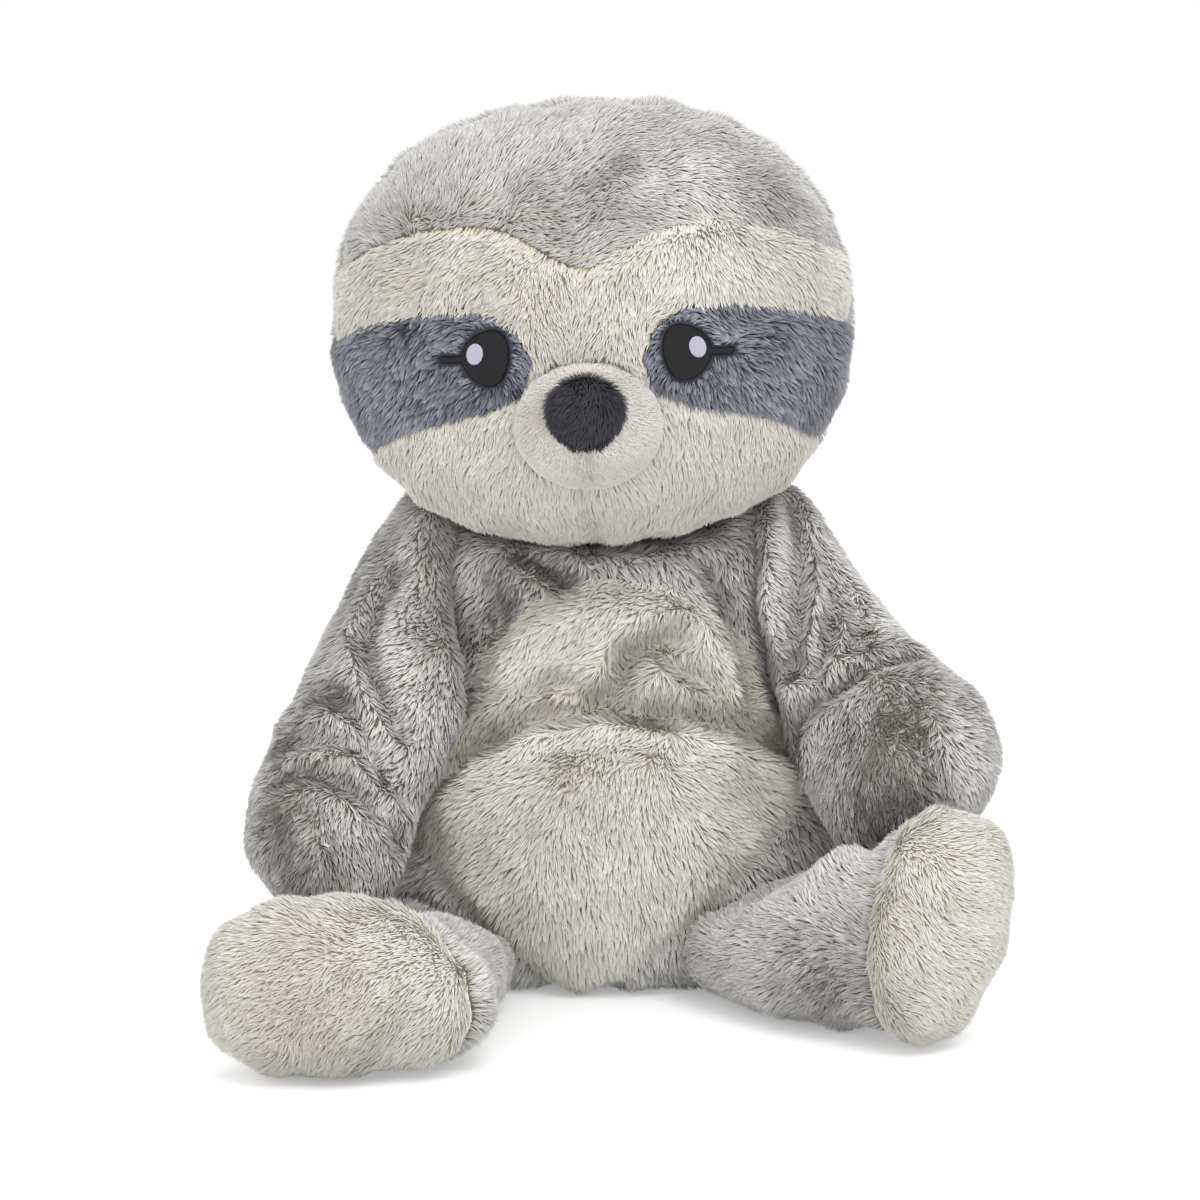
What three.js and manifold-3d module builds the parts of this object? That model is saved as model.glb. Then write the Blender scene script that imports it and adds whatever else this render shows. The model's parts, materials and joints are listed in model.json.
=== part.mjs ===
// A seated sloth soft toy with bead weights: sewn plush covers over fibre filling,
// and a pouch of glass beads in the seat, in each hand and in each foot.
// Millimetres, +Z up. The toy faces -Y, and left and right are the toy's own, so its right is -X.
// The origin is on the floor, under the middle of the seat.

import * as THREE from "three";
import { mergeVertices } from "three/addons/utils/BufferGeometryUtils.js";
import Module from "manifold-3d";

const wasm = await Module();
wasm.setup();

// Fabrics and clearances
const PLUSH = 3.0;
const VELOUR = 1.8;
const POUCH_CLOTH = 0.8;
const THREAD = 0.9;
const SEAM_GAP = 0.3;
const FILL_GAP = 0.4;
const BEAD_GAP = 0.35;
const FLOOR_DIP = 0.5;

// Torso, level by level from the seat up: how far it swells to each side, to the front and to the back
const TORSO_LEVELS = [
  { x: 4, z: 0, halfWidth: 80, front: 64, back: 58 },
  { x: 6, z: 17, halfWidth: 98, front: 82, back: 71 },
  { x: 8, z: 45, halfWidth: 104, front: 90, back: 77 },
  { x: 9, z: 74, halfWidth: 101, front: 90, back: 76 },
  { x: 9, z: 101, halfWidth: 92, front: 80, back: 70 },
  { x: 8, z: 127, halfWidth: 82, front: 64, back: 63 },
  { x: 7, z: 153, halfWidth: 76, front: 57, back: 58 },
  { x: 5, z: 179, halfWidth: 71, front: 51, back: 51 },
];
const TORSO_CROWN = 34;
const SIDE_SEAM_Y = 8;

// Cream belly panel, half of its outline as [half-width, height], and how far back it is sewn
const BELLY_OUTLINE = [
  [38, -20],
  [46, 8],
  [72, 26],
  [86, 46],
  [91, 70],
  [83, 96],
  [65, 119],
  [58, 141],
  [44, 162],
  [22, 175],
];
const BELLY_TOP = 179;
const BELLY_X = 11;
const BELLY_BACK_Y = -34;

// Head
const HEAD_HALF_WIDTH = 111.5;
const HEAD_HALF_DEPTH = 85;
const HEAD_HALF_HEIGHT = 94;
const HEAD_X = 0.5;
const HEAD_Y = -22;
const HEAD_SINK = 26;
const HEAD_ROLL = THREE.MathUtils.degToRad(2.2);
const HEAD_YAW = THREE.MathUtils.degToRad(2);
const HEAD_FULLNESS = 2.3;
const HEAD_TURN = THREE.MathUtils.degToRad(20);
const HEAD_SIDE_SEAM_Y = -4;
const NECK_CLEARANCE = 0.5;
const SWEEP_MARGIN = 1.3;

// Half of the seam between crown and face, outwards from the widow's peak, as [x, height above centre]
const CROWN_SEAM = [
  [0, 31],
  [10, 34],
  [23, 42],
  [40, 48.5],
  [62, 47.5],
  [82, 42.5],
  [102, 33],
  [126, 18],
];

// Eye patch, from its round inner end out to the side seam, as [x, height above centre]
const PATCH_OUTLINE = [
  [22.5, -7],
  [27, 4],
  [36, 11.5],
  [48, 14],
  [69, 12],
  [89, 8.5],
  [109, 0],
  [126, -10],
  [126, -66],
  [109, -57],
  [94, -47.5],
  [79, -38.5],
  [60, -32],
  [42, -28],
  [30, -23.5],
  [24.5, -16.5],
];

// Embroidered eye, its lash line and its highlight
const EYE_X = 41.5;
const EYE_Z = -5.4;
const EYE_HALF_WIDTH = 10.4;
const EYE_HALF_HEIGHT = 11.6;
const LASH_LENGTH = 10;
const LASH_WIDTH = 1.8;
const HIGHLIGHT_OUT = 3.4;
const HIGHLIGHT_UP = 2;
const HIGHLIGHT_HALF_WIDTH = 3.4;
const HIGHLIGHT_HALF_HEIGHT = 4.6;

// Muzzle and nose
const MUZZLE_Z = -32.5;
const MUZZLE_HALF_WIDTH = 31.5;
const MUZZLE_HALF_HEIGHT = 27;
const MUZZLE_HALF_DEPTH = 36;
const MUZZLE_SINK = 7;
const NOSE_ABOVE_MUZZLE = 8;
const NOSE_HALF_WIDTH = 17.2;
const NOSE_HALF_HEIGHT = 15.8;
const NOSE_HALF_DEPTH = 9;
const NOSE_SINK = 5;

// Arms: knots from the shoulder to the hand, measured from the shoulder
const SHOULDER_INSET = 1;
const SHOULDER_RISE = 11;
const SHOULDER_SEAM_IN = 2;
const SHOULDER_SLOPE = new THREE.Vector3(0.52, 0.12, -0.85);
const HAND_CLEARANCE = 2.5;
const RIGHT_ARM = {
  knots: [
    { at: [0, 5, 0], width: 25, depth: 28 },
    { at: [-9, -11, -33], width: 33, depth: 31 },
    { at: [-22, -36, -68], width: 38, depth: 33 },
    { at: [-39, -62, -98], width: 37, depth: 33 },
    { at: [-45, -80, -117], width: 36, depth: 34 },
  ],
  rootCap: 19,
  tipCap: 37,
  pouchLength: 56,
};
const LEFT_ARM = {
  knots: [
    { at: [0, 5, 0], width: 24, depth: 27 },
    { at: [13, -8, -28], width: 29, depth: 30 },
    { at: [30, -29, -58], width: 34, depth: 34 },
    { at: [50, -56, -82], width: 42, depth: 38 },
    { at: [59, -76, -90], width: 42, depth: 39 },
  ],
  rootCap: 19,
  tipCap: 34,
  pouchLength: 54,
};

// Legs: knots from the hip to the ankle on the floor, each half as high as its depth says
const HIP_INSET = 46;
const RIGHT_LEG = {
  hipX: -59,
  knots: [
    { at: [0, 0], width: 32, depth: 30 },
    { at: [-2, -40], width: 32, depth: 31 },
    { at: [-4, -80], width: 31, depth: 32 },
    { at: [-6, -116], width: 30, depth: 33 },
  ],
  rootCap: 20,
  tipCap: 22,
};
const LEFT_LEG = {
  hipX: 50,
  knots: [
    { at: [0, 0], width: 33, depth: 31 },
    { at: [16, -32], width: 35, depth: 34 },
    { at: [36, -62], width: 37, depth: 37 },
    { at: [58, -86], width: 37, depth: 39 },
  ],
  rootCap: 20,
  tipCap: 22,
};

// Right foot, lying on its side from heel to toes, measured from the ankle
const RIGHT_FOOT = {
  knots: [
    { at: [10, -22], width: 24, depth: 26 },
    { at: [-15, -31], width: 30, depth: 35 },
    { at: [-43, -35], width: 31, depth: 39 },
    { at: [-65, -32], width: 29, depth: 35 },
  ],
  rootCap: 17,
  tipCap: 25,
  ankle: [0, 2],
  ankleNormal: new THREE.Vector3(0, -1, 0),
  sole: [-20, -27],
  soleNormal: new THREE.Vector3(-0.5, -0.866, 0),
  pouch: [-31, -34],
  pouchNormal: new THREE.Vector3(-1, 0, 0),
};

// Left foot, standing on its heel with the sole turned out, measured from the ankle
const LEFT_FOOT = {
  knots: [
    { at: [24, -19, 28], width: 33, depth: 28 },
    { at: [28, -21, 48], width: 38, depth: 30 },
    { at: [35, -24, 72], width: 34, depth: 27 },
  ],
  rootCap: 28.5,
  tipCap: 29,
  ankle: [2, -2],
  ankleNormal: new THREE.Vector3(0.72, -0.694, 0),
  sole: [16, -18],
  soleNormal: new THREE.Vector3(0.78, -0.626, 0),
  pouch: [20, -17],
  pouchNormal: new THREE.Vector3(0.72, -0.694, 0),
};

// Seat pouch
const SEAT_POUCH_HEIGHT = 34;

// Faceting
const TORSO_SIDES = 22;
const TORSO_STEPS = 10;
const HEAD_SIDES = 24;
const HEAD_STEPS = 12;
const LIMB_SIDES = 12;
const ARM_STEPS = 6;
const LEG_STEPS = 4;
const CAP_STEPS = 2;
const MUZZLE_SIDES = 16;
const MUZZLE_STEPS = 8;
const OUTLINE_POINTS = 20;
const CUTTER = 1200;

// Plush colours
const material = (color, roughness = 0.95) =>
  new THREE.MeshStandardMaterial({ color, roughness, metalness: 0 });
const GREY = 0xa8a49d;
const CREAM = 0xc9c8be;
const SLATE = 0x83858d;
const MUZZLE_CREAM = 0xcfcac4;
const NOSE_BLACK = 0x2f2f33;
const THREAD_BLACK = 0x222225;
const THREAD_PALE = 0xe9e6f0;
const FIBRE_WHITE = 0xf1efe9;
const POUCH_WHITE = 0xdcdad2;
const BEAD_CLEAR = 0xc9d6da;

// A closed mesh as a solid that can be joined and cut
function solid(geometry) {
  const bare = geometry.clone();
  bare.deleteAttribute("normal");
  bare.deleteAttribute("uv");
  const merged = mergeVertices(bare, 1e-4);
  return new wasm.Manifold(
    new wasm.Mesh({
      numProp: 3,
      vertProperties: merged.attributes.position.array,
      triVerts: new Uint32Array(merged.index.array),
    }),
  );
}

// The solid as a geometry again
function geometryOf(made) {
  const mesh = made.getMesh();
  const geometry = new THREE.BufferGeometry();
  geometry.setAttribute("position", new THREE.BufferAttribute(mesh.vertProperties, 3));
  geometry.setIndex(new THREE.BufferAttribute(mesh.triVerts, 1));
  return geometry;
}

// The largest body of a solid, without the slivers that a cut leaves beside it
function mainBody(made) {
  return made.decompose().reduce((best, body) => (body.volume() > best.volume() ? body : best));
}

// Half of space, as a large block whose face passes through point and which lies along normal
function beyond(point, normal) {
  const block = new THREE.BoxGeometry(CUTTER, CUTTER, CUTTER);
  const outward = normal.clone().normalize();
  const turn = new THREE.Quaternion().setFromUnitVectors(new THREE.Vector3(0, 0, 1), outward);
  block.translate(0, 0, CUTTER / 2);
  block.applyQuaternion(turn);
  block.translate(point.x, point.y, point.z);
  return solid(block);
}

// A closed skin over rounded rings, which run from one end point to the other
function loft(start, rings, end, sides, fullness = 2) {
  const positions = [...start.toArray()];
  for (const ring of rings) {
    for (let side = 0; side < sides; side += 1) {
      const angle = (side / sides) * 2 * Math.PI;
      const across = Math.sign(Math.cos(angle)) * Math.abs(Math.cos(angle)) ** (2 / fullness);
      const along = Math.sign(Math.sin(angle)) * Math.abs(Math.sin(angle)) ** (2 / fullness);
      const point = ring.centre.clone().addScaledVector(ring.side, across).addScaledVector(ring.up, along);
      positions.push(...point.toArray());
    }
  }
  positions.push(...end.toArray());
  const faces = [];
  const last = positions.length / 3 - 1;
  const at = (ring, side) => 1 + ring * sides + (side % sides);
  for (let side = 0; side < sides; side += 1) {
    faces.push(0, at(0, side + 1), at(0, side));
    faces.push(last, at(rings.length - 1, side), at(rings.length - 1, side + 1));
    for (let ring = 0; ring + 1 < rings.length; ring += 1) {
      faces.push(at(ring, side), at(ring, side + 1), at(ring + 1, side));
      faces.push(at(ring, side + 1), at(ring + 1, side + 1), at(ring + 1, side));
    }
  }
  const geometry = new THREE.BufferGeometry();
  geometry.setAttribute("position", new THREE.Float32BufferAttribute(positions, 3));
  geometry.setIndex(faces);
  return geometry;
}

// The torso, swollen by grow: levels from the flat seat up to a dome
function torsoForm(grow) {
  const middles = TORSO_LEVELS.map((level) => new THREE.Vector3(level.x, 0, level.z));
  const places = new THREE.CatmullRomCurve3(middles);
  const swells = new THREE.CatmullRomCurve3(
    TORSO_LEVELS.map((level) => new THREE.Vector3(level.halfWidth, level.front, level.back)),
  );
  places.curveType = "catmullrom";
  swells.curveType = "catmullrom";
  const level = (t, scale, z) => {
    const place = places.getPoint(t);
    const swell = swells.getPoint(t);
    const depth = (swell.y + swell.z) / 2;
    return {
      centre: new THREE.Vector3(place.x, (swell.z - swell.y) / 2, z ?? place.z),
      side: new THREE.Vector3((swell.x + grow) * scale, 0, 0),
      up: new THREE.Vector3(0, (depth + grow) * scale, 0),
    };
  };
  const rings = [level(0, 1, -FLOOR_DIP - grow)];
  for (let step = 1; step <= TORSO_STEPS; step += 1) rings.push(level(step / TORSO_STEPS, 1));
  const top = rings[rings.length - 1].centre;
  for (let step = 1; step <= CAP_STEPS; step += 1) {
    const angle = (step / (CAP_STEPS + 1)) * (Math.PI / 2);
    rings.push(level(1, Math.cos(angle), top.z + (TORSO_CROWN + grow) * Math.sin(angle)));
  }
  const peak = top.clone().setZ(top.z + TORSO_CROWN + grow);
  return solid(loft(rings[0].centre, rings, peak, TORSO_SIDES));
}

// A full, rounded egg with its middle at the origin
function eggForm(halfWidth, halfDepth, halfHeight, sides, steps, fullness) {
  const rings = [];
  for (let step = 1; step < steps; step += 1) {
    const angle = (step / steps - 0.5) * Math.PI;
    const reach = Math.cos(angle) ** (2 / fullness);
    const height = Math.sign(Math.sin(angle)) * Math.abs(Math.sin(angle)) ** (2 / fullness);
    rings.push({
      centre: new THREE.Vector3(0, 0, halfHeight * height),
      side: new THREE.Vector3(halfWidth * reach, 0, 0),
      up: new THREE.Vector3(0, halfDepth * reach, 0),
    });
  }
  const bottom = new THREE.Vector3(0, 0, -halfHeight);
  const top = new THREE.Vector3(0, 0, halfHeight);
  return loft(bottom, rings, top, sides, fullness);
}

// A limb, swollen by grow: rings square to a smooth spine, with a rounded cap past each end knot
function limbForm(limb, grow, across, steps) {
  const spine = new THREE.CatmullRomCurve3(limb.points);
  spine.curveType = "catmullrom";
  const sizes = new THREE.SplineCurve(limb.knots.map((knot) => new THREE.Vector2(knot.width, knot.depth)));
  const ring = (t, scale, shift) => {
    const tangent = spine.getTangent(t);
    const size = sizes.getPoint(t);
    const side = new THREE.Vector3().crossVectors(across, tangent).normalize();
    const up = new THREE.Vector3().crossVectors(tangent, side).normalize();
    return {
      centre: spine.getPoint(t).addScaledVector(tangent, shift),
      side: side.multiplyScalar((size.x + grow) * scale),
      up: up.multiplyScalar((size.y + grow) * scale),
    };
  };
  const capShares = Array.from({ length: CAP_STEPS }, (_, step) => (step + 1) / (CAP_STEPS + 1));
  const capAngles = capShares.map((share) => (share * Math.PI) / 2);
  const rootCap = limb.rootCap + grow;
  const tipCap = limb.tipCap + grow;
  const rings = [
    ...[...capAngles].reverse().map((angle) => ring(0, Math.cos(angle), -rootCap * Math.sin(angle))),
    ...Array.from({ length: steps + 1 }, (_, step) => ring(step / steps, 1, 0)),
    ...capAngles.map((angle) => ring(1, Math.cos(angle), tipCap * Math.sin(angle))),
  ];
  return solid(loft(ring(0, 1, -rootCap).centre, rings, ring(1, 1, tipCap).centre, LIMB_SIDES));
}

// A closed outline through [x, height] points, pushed outwards by grow, as a prism from backY forwards
function prism(points, grow, backY) {
  const outline = smoothOutline(points);
  const grown = outline.map((point, index) => {
    const before = outline.at(index - 1);
    const after = outline[(index + 1) % outline.length];
    const along = new THREE.Vector2().subVectors(after, before).normalize();
    return point.clone().add(new THREE.Vector2(along.y, -along.x).multiplyScalar(grow));
  });
  const block = new THREE.ExtrudeGeometry(new THREE.Shape(grown), { depth: CUTTER / 2, bevelEnabled: false });
  block.rotateX(Math.PI / 2);
  block.translate(0, backY, 0);
  return solid(block);
}

// Evenly spread points on a smooth closed curve, anticlockwise
function smoothOutline(points) {
  const curve = new THREE.CatmullRomCurve3(
    points.map(([x, z]) => new THREE.Vector3(x, z, 0)),
    true,
  );
  const outline = curve
    .getSpacedPoints(OUTLINE_POINTS)
    .slice(0, OUTLINE_POINTS)
    .map((point) => new THREE.Vector2(point.x, point.y));
  return THREE.ShapeUtils.area(outline) < 0 ? outline.reverse() : outline;
}

const mirrored = (points) => points.map(([x, z]) => [-x, z]);

// Everything under the floor
const underFloor = beyond(new THREE.Vector3(0, 0, 0), new THREE.Vector3(0, 0, -1));

// The head's own frame: its middle sits HEAD_SINK deep on the torso's dome, rolled and turned a little
const torsoTop = TORSO_LEVELS.at(-1).z + TORSO_CROWN;
const headPlace = new THREE.Group();
headPlace.position.set(HEAD_X, HEAD_Y, torsoTop + HEAD_HALF_HEIGHT - HEAD_SINK);
headPlace.rotation.set(0, -HEAD_ROLL, -HEAD_YAW);
headPlace.updateMatrixWorld(true);

function headForm(grow) {
  return solid(
    eggForm(
      HEAD_HALF_WIDTH + grow,
      HEAD_HALF_DEPTH + grow,
      HEAD_HALF_HEIGHT + grow,
      HEAD_SIDES,
      HEAD_STEPS,
      HEAD_FULLNESS,
    ),
  );
}

// Half sizes of the room that the head needs to turn on the neck: as wide, and deeper by what its sides sweep
const turnedDepth = Math.hypot(HEAD_HALF_WIDTH * Math.sin(HEAD_TURN), HEAD_HALF_DEPTH * Math.cos(HEAD_TURN));
const sideSweep = (HEAD_HALF_WIDTH - HEAD_HALF_DEPTH) * Math.sin(HEAD_TURN) * SWEEP_MARGIN;
const roomSize = new THREE.Vector3(HEAD_HALF_WIDTH, turnedDepth + sideSweep, HEAD_HALF_HEIGHT);
roomSize.addScalar(NECK_CLEARANCE);

function headRoom() {
  const room = eggForm(roomSize.x, roomSize.y, roomSize.z, HEAD_SIDES, HEAD_STEPS, HEAD_FULLNESS);
  room.applyMatrix4(headPlace.matrixWorld);
  return solid(room);
}

// Everything on the head's side of a plane that touches its room where the room faces outward
function headSide(outward) {
  const dual = HEAD_FULLNESS / (HEAD_FULLNESS - 1);
  const facing = outward.clone().normalize();
  const spread = facing.clone().multiply(roomSize).toArray();
  const reach = spread.reduce((sum, part) => sum + Math.abs(part) ** dual, 0) ** (1 / dual);
  const touch = facing.clone().multiplyScalar(reach).applyMatrix4(headPlace.matrixWorld);
  const away = facing.clone().transformDirection(headPlace.matrixWorld).negate();
  return beyond(touch, away);
}

// Splits a hollow skin by a plane into the side along normal and the side against it
function parted(skin, point, normal) {
  const half = normal.clone().normalize().multiplyScalar(SEAM_GAP / 2);
  const ahead = beyond(point.clone().add(half), normal);
  const behind = beyond(point.clone().sub(half), normal.clone().negate());
  return [skin.intersect(ahead), skin.intersect(behind)];
}

// What fills a cover: fibre, then past a plane a two-panel pouch of beads that has the form pouchAt
function filling(formAt, pouchAt, cuts, point, normal, pouchSeam) {
  const depthOf = (layers) => -PLUSH - FILL_GAP - layers;
  const past = (inset) => beyond(point.clone().addScaledVector(normal, inset), normal);
  const trimmed = (made) => cuts.reduce((left, cut) => left.subtract(cut), made);
  const lining = trimmed(pouchAt(depthOf(POUCH_CLOTH))).intersect(past(POUCH_CLOTH));
  const beads = trimmed(pouchAt(depthOf(POUCH_CLOTH + BEAD_GAP))).intersect(past(POUCH_CLOTH + BEAD_GAP));
  const pouch = trimmed(pouchAt(depthOf(0))).intersect(past(0)).subtract(lining);
  const [first, second] = parted(pouch, point, pouchSeam);
  return {
    stuffing: mainBody(trimmed(formAt(depthOf(0))).subtract(past(-FILL_GAP))),
    pouchFront: mainBody(first),
    pouchBack: mainBody(second),
    beads: mainBody(beads),
  };
}

// Adds a solid, made in the part's frame, as a named mesh in a group's own frame
function add(group, name, made, color, roughness) {
  const geometry = geometryOf(made);
  geometry.applyMatrix4(group.matrixWorld.clone().invert());
  const flat = geometry.toNonIndexed();
  flat.computeVertexNormals();
  const mesh = new THREE.Mesh(flat, material(color, roughness));
  mesh.name = name;
  group.add(mesh);
}

function addFilling(group, stuffed, weighted, made) {
  add(group, `${stuffed}_stuffing`, made.stuffing, FIBRE_WHITE);
  add(group, `${weighted}_pouch_front`, made.pouchFront, POUCH_WHITE, 0.8);
  add(group, `${weighted}_pouch_back`, made.pouchBack, POUCH_WHITE, 0.8);
  add(group, `${weighted}_beads`, made.beads, BEAD_CLEAR, 0.3);
}

function buildTorso(room) {
  const group = new THREE.Group();
  const skin = torsoForm(0).subtract(torsoForm(-PLUSH)).subtract(room).subtract(underFloor);
  const seam = new THREE.Vector3(0, SIDE_SEAM_Y, 0);
  const [back, front] = parted(skin, seam, new THREE.Vector3(0, 1, 0));
  const half = [...BELLY_OUTLINE];
  const outline = [...half, [0, BELLY_TOP], ...mirrored(half).reverse()].map(([x, z]) => [x + BELLY_X, z]);
  const belly = prism(outline, SEAM_GAP, BELLY_BACK_Y + SEAM_GAP);
  add(group, "torso_front_cover", mainBody(front.subtract(belly)), GREY);
  add(group, "belly_panel", mainBody(front.intersect(prism(outline, 0, BELLY_BACK_Y))), CREAM);
  add(group, "torso_back_cover", mainBody(back), GREY);
  const pouchTop = new THREE.Vector3(0, SIDE_SEAM_Y, SEAT_POUCH_HEIGHT);
  const down = new THREE.Vector3(0, 0, -1);
  const inside = filling(torsoForm, torsoForm, [room], pouchTop, down, new THREE.Vector3(0, -1, 0));
  addFilling(group, "torso", "seat", inside);
  return group;
}

function buildHead() {
  const group = new THREE.Group();
  const skin = headForm(0).subtract(headForm(-PLUSH));
  const [back, front] = parted(skin, new THREE.Vector3(0, HEAD_SIDE_SEAM_Y, 0), new THREE.Vector3(0, 1, 0));
  const top = HEAD_HALF_HEIGHT * 1.5;
  const hairline = new THREE.SplineCurve(
    [...mirrored(CROWN_SEAM.slice(1)).reverse(), ...CROWN_SEAM].map(([x, z]) => new THREE.Vector2(x, z)),
  ).getPoints(OUTLINE_POINTS);
  const reach = CROWN_SEAM.at(-1)[0];
  const crownBlock = (lower) => {
    const shape = new THREE.Shape([
      ...hairline.map((point) => new THREE.Vector2(point.x, point.y - lower)),
      new THREE.Vector2(reach, top),
      new THREE.Vector2(-reach, top),
    ]);
    const block = new THREE.ExtrudeGeometry(shape, { depth: CUTTER / 2, bevelEnabled: false });
    block.rotateX(Math.PI / 2);
    return solid(block);
  };
  add(group, "head_back_panel", mainBody(back), GREY);
  add(group, "crown_panel", mainBody(front.intersect(crownBlock(0))), GREY);
  let face = front.subtract(crownBlock(SEAM_GAP));
  for (const [side, outline] of [
    ["left", PATCH_OUTLINE],
    ["right", mirrored(PATCH_OUTLINE)],
  ]) {
    add(group, `${side}_eye_patch`, mainBody(front.intersect(prism(outline, 0, 0))), SLATE);
    face = face.subtract(prism(outline, SEAM_GAP, 0));
    addEye(group, side, side === "left" ? 1 : -1);
  }
  add(group, "face_panel", mainBody(face), CREAM);
  add(group, "head_stuffing", headForm(-PLUSH - FILL_GAP), FIBRE_WHITE);
  addMuzzle(group);
  headPlace.add(group);
  return headPlace;
}

// Thread raised over the face, as a layer of the head's own form
function stitched(block, lift) {
  return mainBody(headForm(lift + THREAD).subtract(headForm(lift)).intersect(block));
}

function ovalPoints(x, z, halfWidth, halfHeight) {
  return new THREE.EllipseCurve(x, z, halfWidth, halfHeight, 0, 2 * Math.PI)
    .getPoints(OUTLINE_POINTS / 2)
    .slice(1)
    .map((point) => [point.x, point.y]);
}

function addEye(group, side, sign) {
  const oval = prism(ovalPoints(sign * EYE_X, EYE_Z, EYE_HALF_WIDTH, EYE_HALF_HEIGHT), 0, 0);
  const start = sign * (EYE_X + EYE_HALF_WIDTH - LASH_WIDTH);
  const end = sign * (EYE_X + EYE_HALF_WIDTH + LASH_LENGTH);
  const lash = new THREE.BoxGeometry(Math.abs(end - start), CUTTER / 2, LASH_WIDTH);
  lash.translate((start + end) / 2, -CUTTER / 4, EYE_Z);
  add(group, `${side}_eye_embroidery`, stitched(oval.add(solid(lash)), SEAM_GAP), THREAD_BLACK, 0.6);
  const highlightX = sign * (EYE_X + HIGHLIGHT_OUT);
  const spot = ovalPoints(highlightX, EYE_Z + HIGHLIGHT_UP, HIGHLIGHT_HALF_WIDTH, HIGHLIGHT_HALF_HEIGHT);
  const onEye = SEAM_GAP + THREAD + SEAM_GAP;
  add(group, `${side}_eye_highlight`, stitched(prism(spot, 0, 0), onEye), THREAD_PALE, 0.6);
}

function addMuzzle(group) {
  const muzzleY = -(HEAD_HALF_DEPTH - MUZZLE_SINK);
  const muzzleForm = (grow) => {
    const egg = eggForm(
      MUZZLE_HALF_WIDTH + grow,
      MUZZLE_HALF_DEPTH + grow,
      MUZZLE_HALF_HEIGHT + grow,
      MUZZLE_SIDES,
      MUZZLE_STEPS,
      2,
    );
    egg.translate(0, muzzleY, MUZZLE_Z);
    return solid(egg);
  };
  const face = headForm(SEAM_GAP);
  const cover = muzzleForm(0).subtract(muzzleForm(-VELOUR)).subtract(face);
  add(group, "muzzle_cover", mainBody(cover), MUZZLE_CREAM, 0.9);
  add(group, "muzzle_stuffing", mainBody(muzzleForm(-VELOUR - FILL_GAP).subtract(face)), FIBRE_WHITE);
  const nose = eggForm(NOSE_HALF_WIDTH, NOSE_HALF_DEPTH, NOSE_HALF_HEIGHT, MUZZLE_SIDES, MUZZLE_STEPS, 2);
  nose.translate(0, muzzleY - MUZZLE_HALF_DEPTH + NOSE_SINK, MUZZLE_Z + NOSE_ABOVE_MUZZLE);
  add(group, "nose", mainBody(solid(nose).subtract(muzzleForm(SEAM_GAP))), NOSE_BLACK);
}

// The middle of a shoulder, just inside the torso's side at its highest level
function shoulder(sign) {
  const level = TORSO_LEVELS.at(-1);
  return new THREE.Vector3(level.x + sign * (level.halfWidth - SHOULDER_INSET), 0, level.z + SHOULDER_RISE);
}

function buildArm(side, sign, arm, obstacles) {
  const group = new THREE.Group();
  const start = shoulder(sign);
  group.position.copy(start);
  group.updateMatrixWorld(true);
  const points = arm.knots.map((knot) => new THREE.Vector3(...knot.at).add(start));
  const front = new THREE.Vector3(0, 1, 0);
  const inward = new THREE.Vector3(-sign, 0, 0);
  const slope = SHOULDER_SLOPE.clone().multiply(new THREE.Vector3(sign, 1, 1));
  const seamAt = start.clone().addScaledVector(inward, SHOULDER_SEAM_IN);
  const cuts = [...obstacles, headSide(slope), beyond(seamAt, inward)];
  const formAt = (grow) => limbForm({ ...arm, points }, grow, front, ARM_STEPS);
  const cover = cuts.reduce((left, cut) => left.subtract(cut), formAt(0).subtract(formAt(-PLUSH)));
  add(group, `${side}_arm_cover`, mainBody(cover), GREY);
  const down = new THREE.Vector3().subVectors(points.at(-1), points.at(-2)).normalize();
  const wrist = points.at(-1).clone().addScaledVector(down, arm.tipCap - arm.pouchLength);
  const acrossHand = new THREE.Vector3().crossVectors(new THREE.Vector3(1, 0, 0), down).normalize();
  addFilling(group, `${side}_arm`, `${side}_hand`, filling(formAt, formAt, cuts, wrist, down, acrossHand));
  return group;
}

// Knots on the floor: each one's height is half of its own depth, less the dip that the floor flattens
function onFloor(knots, start) {
  return knots.map((knot) => {
    const [x, y, z] = knot.at;
    return new THREE.Vector3(start.x + x, start.y + y, z ?? knot.depth - FLOOR_DIP);
  });
}

// One leg and its foot as forms: the leg lies forward from the hip, and the foot goes round its ankle
function legForms(leg, foot, footAcross) {
  const hip = new THREE.Vector3(leg.hipX, -(TORSO_LEVELS[1].front - HIP_INSET), 0);
  const legPoints = onFloor(leg.knots, hip);
  const ankle = legPoints.at(-1);
  const footPoints = onFloor(foot.knots, ankle);
  const up = new THREE.Vector3(0, 0, 1);
  const footAt = (grow) => limbForm({ ...foot, points: footPoints }, grow, footAcross, LEG_STEPS);
  const formAt = (grow) => limbForm({ ...leg, points: legPoints }, grow, up, LEG_STEPS).add(footAt(grow));
  return { formAt, footAt, hip, ankle };
}

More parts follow.
